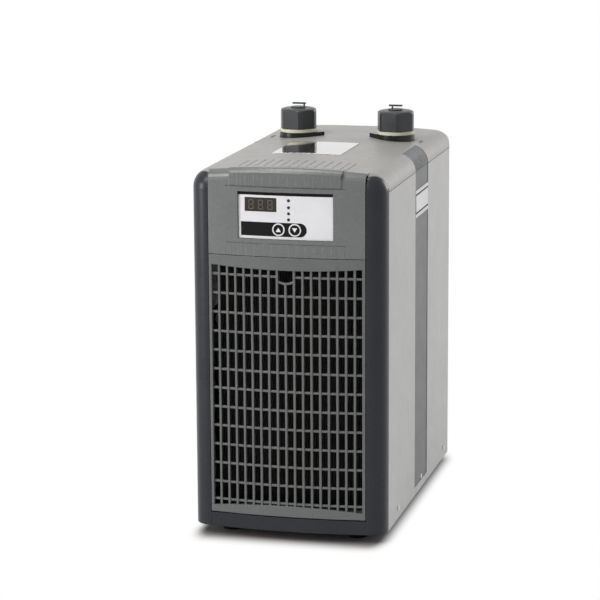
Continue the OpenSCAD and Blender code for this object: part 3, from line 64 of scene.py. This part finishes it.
def make_camera():
    sin_yaw, cos_yaw = math.sin(CAMERA_YAW), math.cos(CAMERA_YAW)
    sin_dip, cos_dip = math.sin(CAMERA_DIP), math.cos(CAMERA_DIP)
    forward = Vector((-sin_yaw * cos_dip, cos_yaw * cos_dip, -sin_dip))
    right = Vector((cos_yaw, sin_yaw, 0))
    up = right.cross(forward)
    turn = Matrix((right, up, -forward)).transposed()
    roll = Matrix.Rotation(CAMERA_ROLL, 3, "Z")
    data = bpy.data.cameras.new("photo_camera")
    data.sensor_width = SENSOR
    data.lens = CAMERA_FOCAL_PX * SENSOR / PHOTO_SIZE
    data.clip_end = CAMERA_FAR
    camera = bpy.data.objects.new("photo_camera", data)
    camera.matrix_world = Matrix.Translation(CAMERA_PLACE) @ (turn @ roll).to_4x4()
    bpy.context.scene.collection.objects.link(camera)
    bpy.context.scene.camera = camera


# Colour mix node: its colour sockets are told by number, since their names are used three times
MIX_SHARE = 0
MIX_FIRST = 6
MIX_SECOND = 7
MIX_RESULT = 2

VECTOR_MATH = "ShaderNodeVectorMath"


def linear(hex_colour):
    # sRGB hex to the linear values that the shaders read
    out = []
    for i in (0, 2, 4):
        c = int(hex_colour[i:i + 2], 16) / 255
        out.append(c / 12.92 if c <= 0.04045 else ((c + 0.055) / 1.055) ** 2.4)
    return (*out, 1.0)


def add_node(tree, kind, settings=None, links=None):
    # Adds one shader node; settings name inputs or properties, links name inputs fed by outputs
    node = tree.nodes.new(kind)
    for name, value in (settings or {}).items():
        if isinstance(name, int) or name in node.inputs:
            node.inputs[name].default_value = value
        else:
            setattr(node, name, value)
    for name, output in (links or {}).items():
        tree.links.new(output, node.inputs[name])
    return node


def values_and_links(settings, operands):
    # Parts numbered operands into plain values, kept as settings, and outputs to link
    links = {}
    for place, operand in operands.items():
        kept = links if isinstance(operand, bpy.types.NodeSocket) else settings
        kept[place] = operand
    return settings, links


def maths(tree, operation, *operands, kind="ShaderNodeMath"):
    # First output of a math node; each operand is a value or another node's output
    settings, links = values_and_links({"operation": operation}, dict(enumerate(operands)))
    return add_node(tree, kind, settings, links).outputs[0]


def ramp(tree, value, low, high, to_low=0.0, to_high=1.0, shape="LINEAR"):
    # Carries a value from the range low to high over to the range to_low to to_high
    return add_node(tree, "ShaderNodeMapRange",
                    {"interpolation_type": shape, "From Min": low, "From Max": high,
                     "To Min": to_low, "To Max": to_high},
                    {"Value": value}).outputs["Result"]


def noise(tree, place, size_mm, detail):
    # Soft noise with features of about this size
    return add_node(tree, "ShaderNodeTexNoise", {"Scale": 1 / (size_mm * MM), "Detail": detail},
                    {"Vector": place}).outputs["Fac"]


def tone_mix(tree, share, first, second):
    # A colour from the first tone to the second; a tone is linear values or a node's output
    operands = {MIX_SHARE: share, MIX_FIRST: first, MIX_SECOND: second}
    settings, links = values_and_links({"data_type": "RGBA"}, operands)
    return add_node(tree, "ShaderNodeMix", settings, links).outputs[MIX_RESULT]


def shader_mix(tree, share, first, second):
    return add_node(tree, "ShaderNodeMixShader", links={0: share, 1: first, 2: second}).outputs[0]


def empty_material(name):
    material = bpy.data.materials.new(name)
    material.use_nodes = True
    material.node_tree.nodes.clear()
    return material


def shader_of(material):
    return next(n for n in material.node_tree.nodes if n.type == "BSDF_PRINCIPLED")


# Moulded surfaces, in mm: the radius that edges turn over, and the size of tone clouds and wear
EDGE_MM = 0.6
EDGE_SAMPLES = 4
CLOUD_MM = 60
CLOUD_DETAIL = 4.0
WEAR_MM = 14
WEAR_DETAIL = 5.0
GRAIN_DETAIL = 2.0
# Noise seldom leaves this range
NOISE_LOW = 0.3
NOISE_HIGH = 0.7


def moulded(name, colour, mottle, rough, spread, grain_mm, grain_depth_mm, settings=None,
            edge_mm=EDGE_MM):
    # Moulded or painted surface: two close tones in broad clouds, roughness that varies a
    # little, a fine grain that stands in the light as the mould's spark-eroded face does, and
    # edges that turn over a small radius
    material = empty_material(name)
    tree = material.node_tree
    shader = add_node(tree, "ShaderNodeBsdfPrincipled")
    add_node(tree, "ShaderNodeOutputMaterial", links={"Surface": shader.outputs["BSDF"]})
    place = add_node(tree, "ShaderNodeTexCoord").outputs["Object"]
    cloud = noise(tree, place, CLOUD_MM, CLOUD_DETAIL)
    share = ramp(tree, cloud, NOISE_LOW, NOISE_HIGH)
    tone = tone_mix(tree, share, linear(colour), linear(mottle))
    tree.links.new(tone, shader.inputs["Base Color"])
    wear = noise(tree, place, WEAR_MM, WEAR_DETAIL)
    sheen = ramp(tree, wear, NOISE_LOW, NOISE_HIGH, rough - spread, rough + spread)
    tree.links.new(sheen, shader.inputs["Roughness"])
    grain = noise(tree, place, grain_mm, GRAIN_DETAIL)
    edge = add_node(tree, "ShaderNodeBevel", {"samples": EDGE_SAMPLES, "Radius": edge_mm * MM})
    bump = add_node(tree, "ShaderNodeBump", {"Strength": 1.0, "Distance": grain_depth_mm * MM},
                    {"Height": grain, "Normal": edge.outputs["Normal"]})
    tree.links.new(bump.outputs["Normal"], shader.inputs["Normal"])
    for socket, value in (settings or {}).items():
        shader.inputs[socket].default_value = value
    return material


# Each finish: name, two tones, roughness and its spread, grain size and depth in mm
MATERIALS = {
    # Charcoal ABS, moulded and spray-coated to a soft gloss: dark with broad pale reflections
    "charcoal_plastic": moulded("charcoal_abs_coated", "1f2228", "24272d", 0.30, 0.04, 1.2, 0.004,
                                {"Specular IOR Level": 0.3}),
    # Grey metallic-coated ABS of the grille and control panel
    "grey_plastic": moulded("grey_abs_coated", "646565", "696a6a", 0.30, 0.05, 1.0, 0.005),
    # Light grey ABS of the top cover, finely grained
    "light_plastic": moulded("light_abs_grained", "949390", "9a9895", 0.42, 0.05, 1.4, 0.010),
    # Powder-coated steel sheet: pale, with the coating's faint orange peel
    "light_sheet": moulded("powder_coated_sheet", "b1b0af", "b6b5b4", 0.42, 0.05, 2.2, 0.012),
    # Mid-grey ABS inlays, matt
    "mid_grey_plastic": moulded("grey_abs_matt", "6a6a6a", "707070", 0.6, 0.05, 1.0, 0.012),
    # Zinc-plated sheet: grey metal with broad spangle
    "galvanised_sheet": moulded("zinc_plated_sheet", "a8aaac", "b6b8ba", 0.36, 0.08, 6.0, 0.004,
                                {"Metallic": 1.0}),
    # Black rubber, compression moulded in a polished tool
    "foot_rubber": moulded("black_rubber", "0a0a0b", "101011", 0.45, 0.05, 0.8, 0.01,
                           {"Specular IOR Level": 0.2}),
    # Zinc-plated screws: bright and slightly worn
    "screw_steel": moulded("plated_screw_steel", "e2e3e4", "c9cacb", 0.34, 0.1, 0.7, 0.01,
                           {"Metallic": 1.0}),
    # Pale ABS frame of the side plate: near white and satin
    "plate_grey": moulded("pale_abs", "d6d5d4", "dcdbda", 0.45, 0.05, 1.2, 0.006),
    # Dark seals and border: they swallow the light, so they read as thin black lines. The seal along
    # the top of the control plate stands in for the shadow in the plate's pocket, so there the black
    # is painted shade
    "border_black": moulded("black_edge_and_painted_shade", "040404", "070707", 0.6, 0.05, 1.2, 0.006,
                            {"Specular IOR Level": 0.15}),
    # Screen-printed polycarbonate sheet: near white with a fine velvet grain
    "plate_white": moulded("polycarbonate_overlay", "dcdbdd", "e2e1e3", 0.35, 0.04, 0.8, 0.004),
    # Silvered film, laminated: a mirror at a low angle, so it holds the ports and the backdrop
    "label_gloss": moulded("silvered_film", "c6c6c7", "cececf", 0.07, 0.02, 20, 0.002,
                           {"Metallic": 1.0}),
    # Smoked acrylic window: brown-black and smooth
    "display_tint": moulded("smoked_acrylic", "2e2822", "352e28", 0.2, 0.03, 6, 0.004,
                            {"Specular IOR Level": 0.3}),
    # Unlit segments: a dull brown that just stands out from the window
    "digit_tint": moulded("unlit_segment", "665e51", "6e6558", 0.5, 0.04, 1.0, 0.004),
    # Smoked lenses of the unlit lamps: near black with a sharp glint
    "lens_dark": moulded("smoked_lens", "1b1b1c", "242426", 0.15, 0.03, 2, 0.003),
    # Black overlay of strip and keys: deep and hardly glossy
    "strip_black": moulded("black_overlay", "0c0c0d", "111112", 0.4, 0.04, 0.8, 0.004,
                           {"Specular IOR Level": 0.15}),
    # White screen print of rings and arrows, matt
    "mark_light": moulded("light_print", "e8e8e8", "efefef", 0.5, 0.04, 0.8, 0.003),
    # Circuit board under green lacquer
    "board_green": moulded("circuit_board", "1d5a35", "24663d", 0.35, 0.05, 3, 0.01),
    # Black ABS of shroud, blades and covers: satin
    "black_plastic": moulded("black_abs", "1a1a1b", "202021", 0.5, 0.06, 1.2, 0.012),
    # Dark PVC of the port bases: glossy, with a clear reflection along its rim
    "port_dark": moulded("dark_pvc_gloss", "0e1013", "131518", 0.24, 0.04, 2.5, 0.006,
                         {"Specular IOR Level": 0.35}),
    # Cream silicone seal ring
    "ring_cream": moulded("cream_silicone", "cbc8b0", "d6d3bd", 0.5, 0.05, 1.2, 0.01),
    # Grey-black PVC union nut, moulded: each flat takes its own grey
    "nut_dark": moulded("pvc_union_nut", "1e2023", "25272b", 0.34, 0.06, 1.4, 0.008),
    # Dark polythene plugs: waxy and soft in the light
    "plug_dark": moulded("polythene_plug", "28282a", "2f2f31", 0.45, 0.05, 1.2, 0.01),
    # Grey screen print of the flow arrows
    "mark_dark": moulded("dark_print", "55555a", "5c5c60", 0.5, 0.04, 0.8, 0.003),
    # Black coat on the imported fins
    "fin_black": moulded("black_coated_fin", "0c0c0d", "131314", 0.45, 0.08, 3, 0.01),
    # Drawn copper: warm metal that tarnishes brown in places
    "copper_tube": moulded("copper_tube", "b07048", "8c5236", 0.35, 0.12, 5, 0.008, {"Metallic": 1.0}),
    # Painted motor case: mid grey and satin
    "motor_grey": moulded("painted_motor", "66676b", "707175", 0.45, 0.06, 2, 0.012),
    # Black enamel of the compressor: glossy, with clear highlights on its round shell
    "shell_black": moulded("black_enamel", "101011", "17171a", 0.25, 0.06, 3, 0.012),
    # Dark grey PVC vessel
    "vessel_grey": moulded("vessel_pvc", "37373b", "3f3f43", 0.42, 0.05, 2, 0.01),
    # Titanium tube: pale grey metal, smooth
    "titanium": moulded("titanium_tube", "98989c", "a4a4a8", 0.3, 0.08, 4, 0.006, {"Metallic": 1.0}),
    # Grille: its bars are round-edged all over, so its edges turn over a larger radius
    "grille_grey": moulded("grey_abs_round_bars", "5c5d5d", "626363", 0.30, 0.05, 1.0, 0.005,
                           edge_mm=1.3),
    # Pressed aluminium fins under a thin black coat, which lets a brown tone through
    "fin_coat": moulded("black_coated_fins", "1f1d1a", "2b2823", 0.45, 0.08, 3, 0.01),
    # Condenser tubes under the same coat
    "coated_copper": moulded("black_coated_copper", "161514", "201d1a", 0.5, 0.08, 5, 0.008),
    # Hand grips: mid-grey elastomer, matt
    "grip_rubber": moulded("knurled_grip_rubber", "66686a", "6e7072", 0.55, 0.05, 1.0, 0.006,
                           edge_mm=0.15),
}

# Pointiness of the grips' mesh where the painted shade in a hollow is full, and where it ends
HOLLOW_DEEP = 0.44
HOLLOW_EDGE = 0.505
HOLLOW_SHADE_TONE = "1c1d1e"


def paint_hollow_shade(material):
    # Painted shade in a texture's hollows, told by how sharply the mesh turns inwards
    tree = material.node_tree
    base = shader_of(material).inputs["Base Color"]
    tone = base.links[0].from_socket
    turn = add_node(tree, "ShaderNodeNewGeometry").outputs["Pointiness"]
    share = ramp(tree, turn, HOLLOW_DEEP, HOLLOW_EDGE)
    tree.links.new(tone_mix(tree, share, linear(HOLLOW_SHADE_TONE), tone), base)


# Painted shade in the hollows of the grips' knurl
paint_hollow_shade(MATERIALS["grip_rubber"])


# Control panel, in mm: the bow of its face
PANEL_HALF = 107.1
SEAM_Y = -228.7
BOW = 7.8
BOW_R = (PANEL_HALF ** 2 + BOW ** 2) / (2 * BOW)
BOW_Y = SEAM_Y - BOW + BOW_R
# Its grooves: pitch, half width, the depth that is kept, and the depths where a floor is met
GROOVE_PITCH = 11.5333
GROOVE_HALF = 1.05
GROOVE_KEPT = 0.15
GROOVE_SHALLOW = 0.3
GROOVE_DEEP = 0.95
# Its pad: how far it stands proud, half length, foot, and the slope that its ends are given
PAD_PROUD = 1.5
PAD_HALF = 76.5
PAD_FOOT_Z = 480.5
PAD_SLOPE = 1.8
PAD_END_REACH = 0.6
PAD_FACE_REACH = 0.4
# The lower band's grooves end below this height
BAND_TOP_Z = 403.3
# Its fine ribs, one between two grooves: bands in z, half length, soft ends and relief
RIB_PITCH = GROOVE_PITCH / 2
RIB_BANDS = [(388.5, 402.5), (481.5, 496.0)]
RIB_HALF = 74.0
RIB_END = 0.8
RIB_RELIEF = 0.10


def ribbed_panel():
    # The control panel's grey ABS, glossier than the grille, with the fine upright ribs pressed
    # in its upper pad and lower band, which show as faint pale and dark stripes
    material = moulded("grey_abs_ribbed", "616262", "666767", 0.27, 0.03, 1.0, 0.002,
                       {"Specular IOR Level": 0.65})
    tree = material.node_tree
    normal = shader_of(material).inputs["Normal"]
    smooth = normal.links[0].from_socket
    place = add_node(tree, "ShaderNodeTexCoord").outputs["Object"]
    split = add_node(tree, "ShaderNodeSeparateXYZ", links={0: place})
    across, height = split.outputs["X"], split.outputs["Z"]
    wave = maths(tree, "COSINE", maths(tree, "MULTIPLY", across, math.tau / (RIB_PITCH * MM)))
    bands = []
    for low, high in RIB_BANDS:
        above = ramp(tree, height, (low - RIB_END) * MM, (low + RIB_END) * MM)
        below = ramp(tree, height, (high + RIB_END) * MM, (high - RIB_END) * MM)
        bands.append(maths(tree, "MULTIPLY", above, below))
    inside = ramp(tree, maths(tree, "ABSOLUTE", across), (RIB_HALF + RIB_END) * MM,
                  (RIB_HALF - RIB_END) * MM)
    area = maths(tree, "MULTIPLY", maths(tree, "ADD", *bands), inside)
    bump = add_node(tree, "ShaderNodeBump", {"Strength": 1.0, "Distance": RIB_RELIEF * MM},
                    {"Height": maths(tree, "MULTIPLY", wave, area), "Normal": smooth})
    tree.links.new(bump.outputs["Normal"], normal)
    return material


MATERIALS["ribbed_grey"] = ribbed_panel()


def new_piece(name, mesh, finish, body, stands_for):
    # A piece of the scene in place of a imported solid, on that solid's body
    piece = bpy.data.objects.new(name, mesh)
    bpy.context.scene.collection.objects.link(piece)
    mesh.materials.clear()
    mesh.materials.append(MATERIALS[finish])
    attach(piece, body)
    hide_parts(stands_for)


def bow_face(x):
    # The y of the control panel's bowed face at x
    return BOW_Y - math.sqrt(BOW_R ** 2 - x * x)


def make_control_panel():
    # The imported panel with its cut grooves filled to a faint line, as worn mould ribs look, and
    # with the square ends of its pad turned into short slopes
    mesh = NODES["control_panel"].data.copy()
    slope_x = PAD_HALF - PAD_SLOPE
    for vertex in mesh.vertices:
        x, y, z = (c / MM for c in vertex.co)
        on_pad = z > PAD_FOOT_Z
        pad_y = bow_face(x) - PAD_PROUD
        if on_pad and abs(abs(x) - PAD_HALF) < PAD_END_REACH and abs(y - pad_y) < PAD_FACE_REACH:
            vertex.co.x = math.copysign(slope_x, x) * MM
            vertex.co.y = (bow_face(slope_x) - PAD_PROUD) * MM
            continue
        off_groove = abs(x - round(x / GROOVE_PITCH) * GROOVE_PITCH) > GROOVE_HALF
        if off_groove or (z > BAND_TOP_Z and not on_pad):
            continue
        face = pad_y if on_pad else bow_face(x)
        if GROOVE_SHALLOW < y - face < GROOVE_DEEP:
            vertex.co.y = (face + GROOVE_KEPT) * MM
    new_piece("ribbed_control_panel", mesh, "ribbed_grey", "cabinet", "control_panel")


# Condenser pack, in mm: pressed fins, drawn thicker than the real 0.12 so that they show
FIN_PITCH = 2.2
FIN_T = 0.5
FIN_RIPPLE = 0.45
FIN_RIPPLE_PITCH = 25.0
FIN_ROWS = 96


def make_fins():
    # Upright fins side by side, each a rippled strip with four corners at every height
    low, high = (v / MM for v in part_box("condenser_fins"))
    corners = ((-1, low.y), (1, low.y), (1, high.y), (-1, high.y))
    ring = len(corners)
    count = int((high.x - low.x - FIN_T) / FIN_PITCH)
    step = (high.x - low.x - FIN_T) / count
    verts, faces = [], []
    for i in range(count + 1):
        middle = low.x + FIN_T / 2 + i * step
        foot = len(verts)
        for j in range(FIN_ROWS + 1):
            z = low.z + (high.z - low.z) * j / FIN_ROWS
            x = middle + FIN_RIPPLE * math.sin(math.tau * z / FIN_RIPPLE_PITCH)
            for side, y in corners:
                verts.append(((x + side * FIN_T / 2) * MM, y * MM, z * MM))
        for j in range(FIN_ROWS):
            a = foot + ring * j
            for k in range(ring):
                n = (k + 1) % ring
                faces.append((a + k, a + n, a + ring + n, a + ring + k))
        faces.append(tuple(foot + k for k in reversed(range(ring))))
        faces.append(tuple(foot + ring * FIN_ROWS + k for k in range(ring)))
    mesh = bpy.data.meshes.new("pressed_fins")
    mesh.from_pydata(verts, [], faces)
    new_piece("pressed_fins", mesh, "fin_coat", "cabinet", "condenser_fins")


# Hand grips, in mm: the round of the cover that they lie in, and their thickness and ends
CORNER_R = 25.4
GRIP_IN = 0.2
GRIP_T = 1.4
GRIP_Z = 473.3
GRIP_GAP = 0.4
GRIP_TOP_DEG = 76.0
# Diamond knurl, fainter towards the top. The real diamonds are about 2 mm, and these are drawn
# larger and longer so that they show.
KNURL_PITCH = 4.6
KNURL_REACH = 11.0
KNURL_DEPTH = 1.0
KNURL_SHARE = 0.30
KNURL_FADE = 0.5
KNURL_CELL = 0.4


def knurl_cut(along, across, rise):
    # Depth of the nearer of the two diagonal grooves at a point of the grip
    cut = 0.0
    for slant in (-1, 1):
        run = along / KNURL_PITCH + slant * across / KNURL_REACH
        off = abs((run + 0.5) % 1.0 - 0.5)
        cut = max(cut, 1 - off / KNURL_SHARE)
    return KNURL_DEPTH * cut * (1 - KNURL_FADE * rise)


def grip_point(side, radius, angle, y):
    # A point of the grip at a radius and angle in the round of the cover, in metres
    x = side * (PANEL_HALF + radius * math.cos(angle))
    z = GRIP_Z + radius * math.sin(angle)
    return (x * MM, y * MM, z * MM)


def make_grips():
    # Two curved pads: a knurled outer face in small cells, and a plain face inside
    low, high = (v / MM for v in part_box("cover_grips"))
    outer_r = CORNER_R - GRIP_IN
    inner_r = CORNER_R - GRIP_T
    first = math.asin(GRIP_GAP / outer_r)
    last = math.radians(GRIP_TOP_DEG)
    turns = int(outer_r * (last - first) / KNURL_CELL)
    runs = int((high.y - low.y) / KNURL_CELL)
    row = runs + 1
    verts, faces = [], []
    for side in (-1, 1):
        outer = len(verts)
        for i in range(turns + 1):
            angle = first + i / turns * (last - first)
            for j in range(runs + 1):
                y = low.y + (high.y - low.y) * j / runs
                on_rim = i in (0, turns) or j in (0, runs)
                cut = 0 if on_rim else knurl_cut(outer_r * angle, y, i / turns)
                verts.append(grip_point(side, outer_r - cut, angle, y))
        inner = len(verts)
        for i in range(turns + 1):
            angle = first + i / turns * (last - first)
            for y in (low.y, high.y):
                verts.append(grip_point(side, inner_r, angle, y))
        here = []
        for i in range(turns):
            a, b = outer + i * row, inner + 2 * i
            for j in range(runs):
                here.append((a + j, a + j + 1, a + j + row + 1, a + j + row))
            here.append((a, a + row, b + 2, b))
            here.append((a + runs + row, a + runs, b + 1, b + 3))
            here.append((b, b + 2, b + 3, b + 1))
        a, b = outer + turns * row, inner + 2 * turns
        here.append([outer + j for j in reversed(range(row))] + [inner, inner + 1])
        here.append([a + j for j in range(row)] + [b + 1, b])
        faces += here if side < 0 else [tuple(reversed(f)) for f in here]
    mesh = bpy.data.meshes.new("knurled_grips")
    mesh.from_pydata(verts, [], faces)
    shell = bmesh.new()
    shell.from_mesh(mesh)
    bmesh.ops.recalc_face_normals(shell, faces=shell.faces)
    shell.to_mesh(mesh)
    shell.free()
    new_piece("knurled_grips", mesh, "grip_rubber", "cabinet", "cover_grips")


# Solids whose finish differs from the rest of their slot
OWN_FINISH = {"grille_panel": "grille_grey", "condenser_tubes": "coated_copper"}


def dress_nodes():
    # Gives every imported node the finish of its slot
    slots = {s["node"]: s["material_slot"] for s in frame["record"]["subparts"]}
    for name, solid in NODES.items():
        finish = MATERIALS[OWN_FINISH.get(name, slots[name])]
        for place in solid.material_slots:
            place.material = finish


# Ground, in metres. The eye sees plain white but for a tight contact shadow: up to SHADOW_REACH
# round the footprint the ground is a matt grey, a painted shadow that also takes the real light and
# shade, and it has turned white at SHADOW_FADE.
# The squeeze comes before the footprint is taken off, so the shade fades twice as fast in x.
FLOOR_HALF = 12.0
SHADOW_REACH = 0.020
SHADOW_FADE = 0.072
SHADOW_TONE = "94918e"
SHADOW_SQUEEZE = (2.0, 1.0, 0)
FOOTPRINT = (0.219, 0.205, 0)


def seen_rays(tree):
    # One for camera, mirror and see-through rays, nought for the rays that carry light
    path = add_node(tree, "ShaderNodeLightPath").outputs
    first = maths(tree, "MAXIMUM", path["Is Camera Ray"], path["Is Glossy Ray"])
    return maths(tree, "MAXIMUM", first, path["Is Transmission Ray"])


def floor_material():
    # Matt white for the rays that carry light; for the eye, the painted shadow grey and the plain
    # white
    material = empty_material("studio_ground")
    tree = material.node_tree
    place = add_node(tree, "ShaderNodeTexCoord").outputs["Object"]
    matt = add_node(tree, "ShaderNodeBsdfDiffuse", {"Color": linear(WHITE)})
    far = add_node(tree, "ShaderNodeEmission", {"Color": linear(WHITE), "Strength": 1.0})
    away = maths(tree, "ABSOLUTE", place, kind=VECTOR_MATH)
    squeezed = maths(tree, "MULTIPLY", away, SHADOW_SQUEEZE, kind=VECTOR_MATH)
    past = maths(tree, "SUBTRACT", squeezed, FOOTPRINT, kind=VECTOR_MATH)
    outside = maths(tree, "MAXIMUM", past, (0, 0, 0), kind=VECTOR_MATH)
    reach = add_node(tree, VECTOR_MATH, {"operation": "LENGTH"}, {0: outside}).outputs["Value"]
    fade = ramp(tree, reach, SHADOW_REACH, SHADOW_FADE, shape="SMOOTHSTEP")
    tone = tone_mix(tree, fade, linear(SHADOW_TONE), linear(WHITE))
    near = add_node(tree, "ShaderNodeBsdfDiffuse", links={"Color": tone})
    shown = shader_mix(tree, fade, near.outputs[0], far.outputs[0])
    ground = shader_mix(tree, seen_rays(tree), matt.outputs[0], shown)
    add_node(tree, "ShaderNodeOutputMaterial", links={"Surface": ground})
    return material


def make_stage():
    mesh = bpy.data.meshes.new("studio_floor")
    h = FLOOR_HALF
    mesh.from_pydata([(-h, -h, 0), (h, -h, 0), (h, h, 0), (-h, h, 0)], [], [(0, 1, 2, 3)])
    floor = bpy.data.objects.new("studio_floor", mesh)
    bpy.context.scene.collection.objects.link(floor)
    mesh.materials.append(floor_material())


# Soft boxes: name, place in metres, width and height in metres, power in watts
LAMPS = [
    ("key_soft", (-1.2, -2.2, 2.8), (1.7, 1.6), 52),
    ("left_soft", (-2.3, -1.75, 0.7), (1.0, 1.2), 33),
    ("right_soft", (2.2, 2.5, 1.3), (1.4, 1.8), 48),
    ("top_soft", (-0.5, -0.1, 2.9), (1.3, 0.8), 21),
]
LAMP_AIM = (0, 0, 0.26)
WORLD_FILL = 0.22


def add_lamps():
    for name, place, size, power in LAMPS:
        data = bpy.data.lights.new(name, "AREA")
        data.shape = "RECTANGLE"
        data.size, data.size_y = size
        data.energy = power
        lamp = bpy.data.objects.new(name, data)
        lamp.location = place
        lamp.rotation_euler = (Vector(LAMP_AIM) - Vector(place)).to_track_quat("-Z", "Y").to_euler()
        bpy.context.scene.collection.objects.link(lamp)


def make_world():
    # White to the eye, and a weak even fill for the light
    world = bpy.data.worlds.new("studio")
    world.use_nodes = True
    bpy.context.scene.world = world
    tree = world.node_tree
    tree.nodes.clear()
    fill = add_node(tree, "ShaderNodeBackground", {"Color": linear(WHITE), "Strength": WORLD_FILL})
    white = add_node(tree, "ShaderNodeBackground", {"Color": linear(WHITE), "Strength": 1.0})
    mix = shader_mix(tree, seen_rays(tree), fill.outputs[0], white.outputs[0])
    add_node(tree, "ShaderNodeOutputWorld", links={"Surface": mix})


make_camera()
make_world()
make_stage()
add_lamps()
dress_nodes()
make_control_panel()
make_fins()
make_grips()

bpy.context.scene.view_settings.view_transform = "Standard"
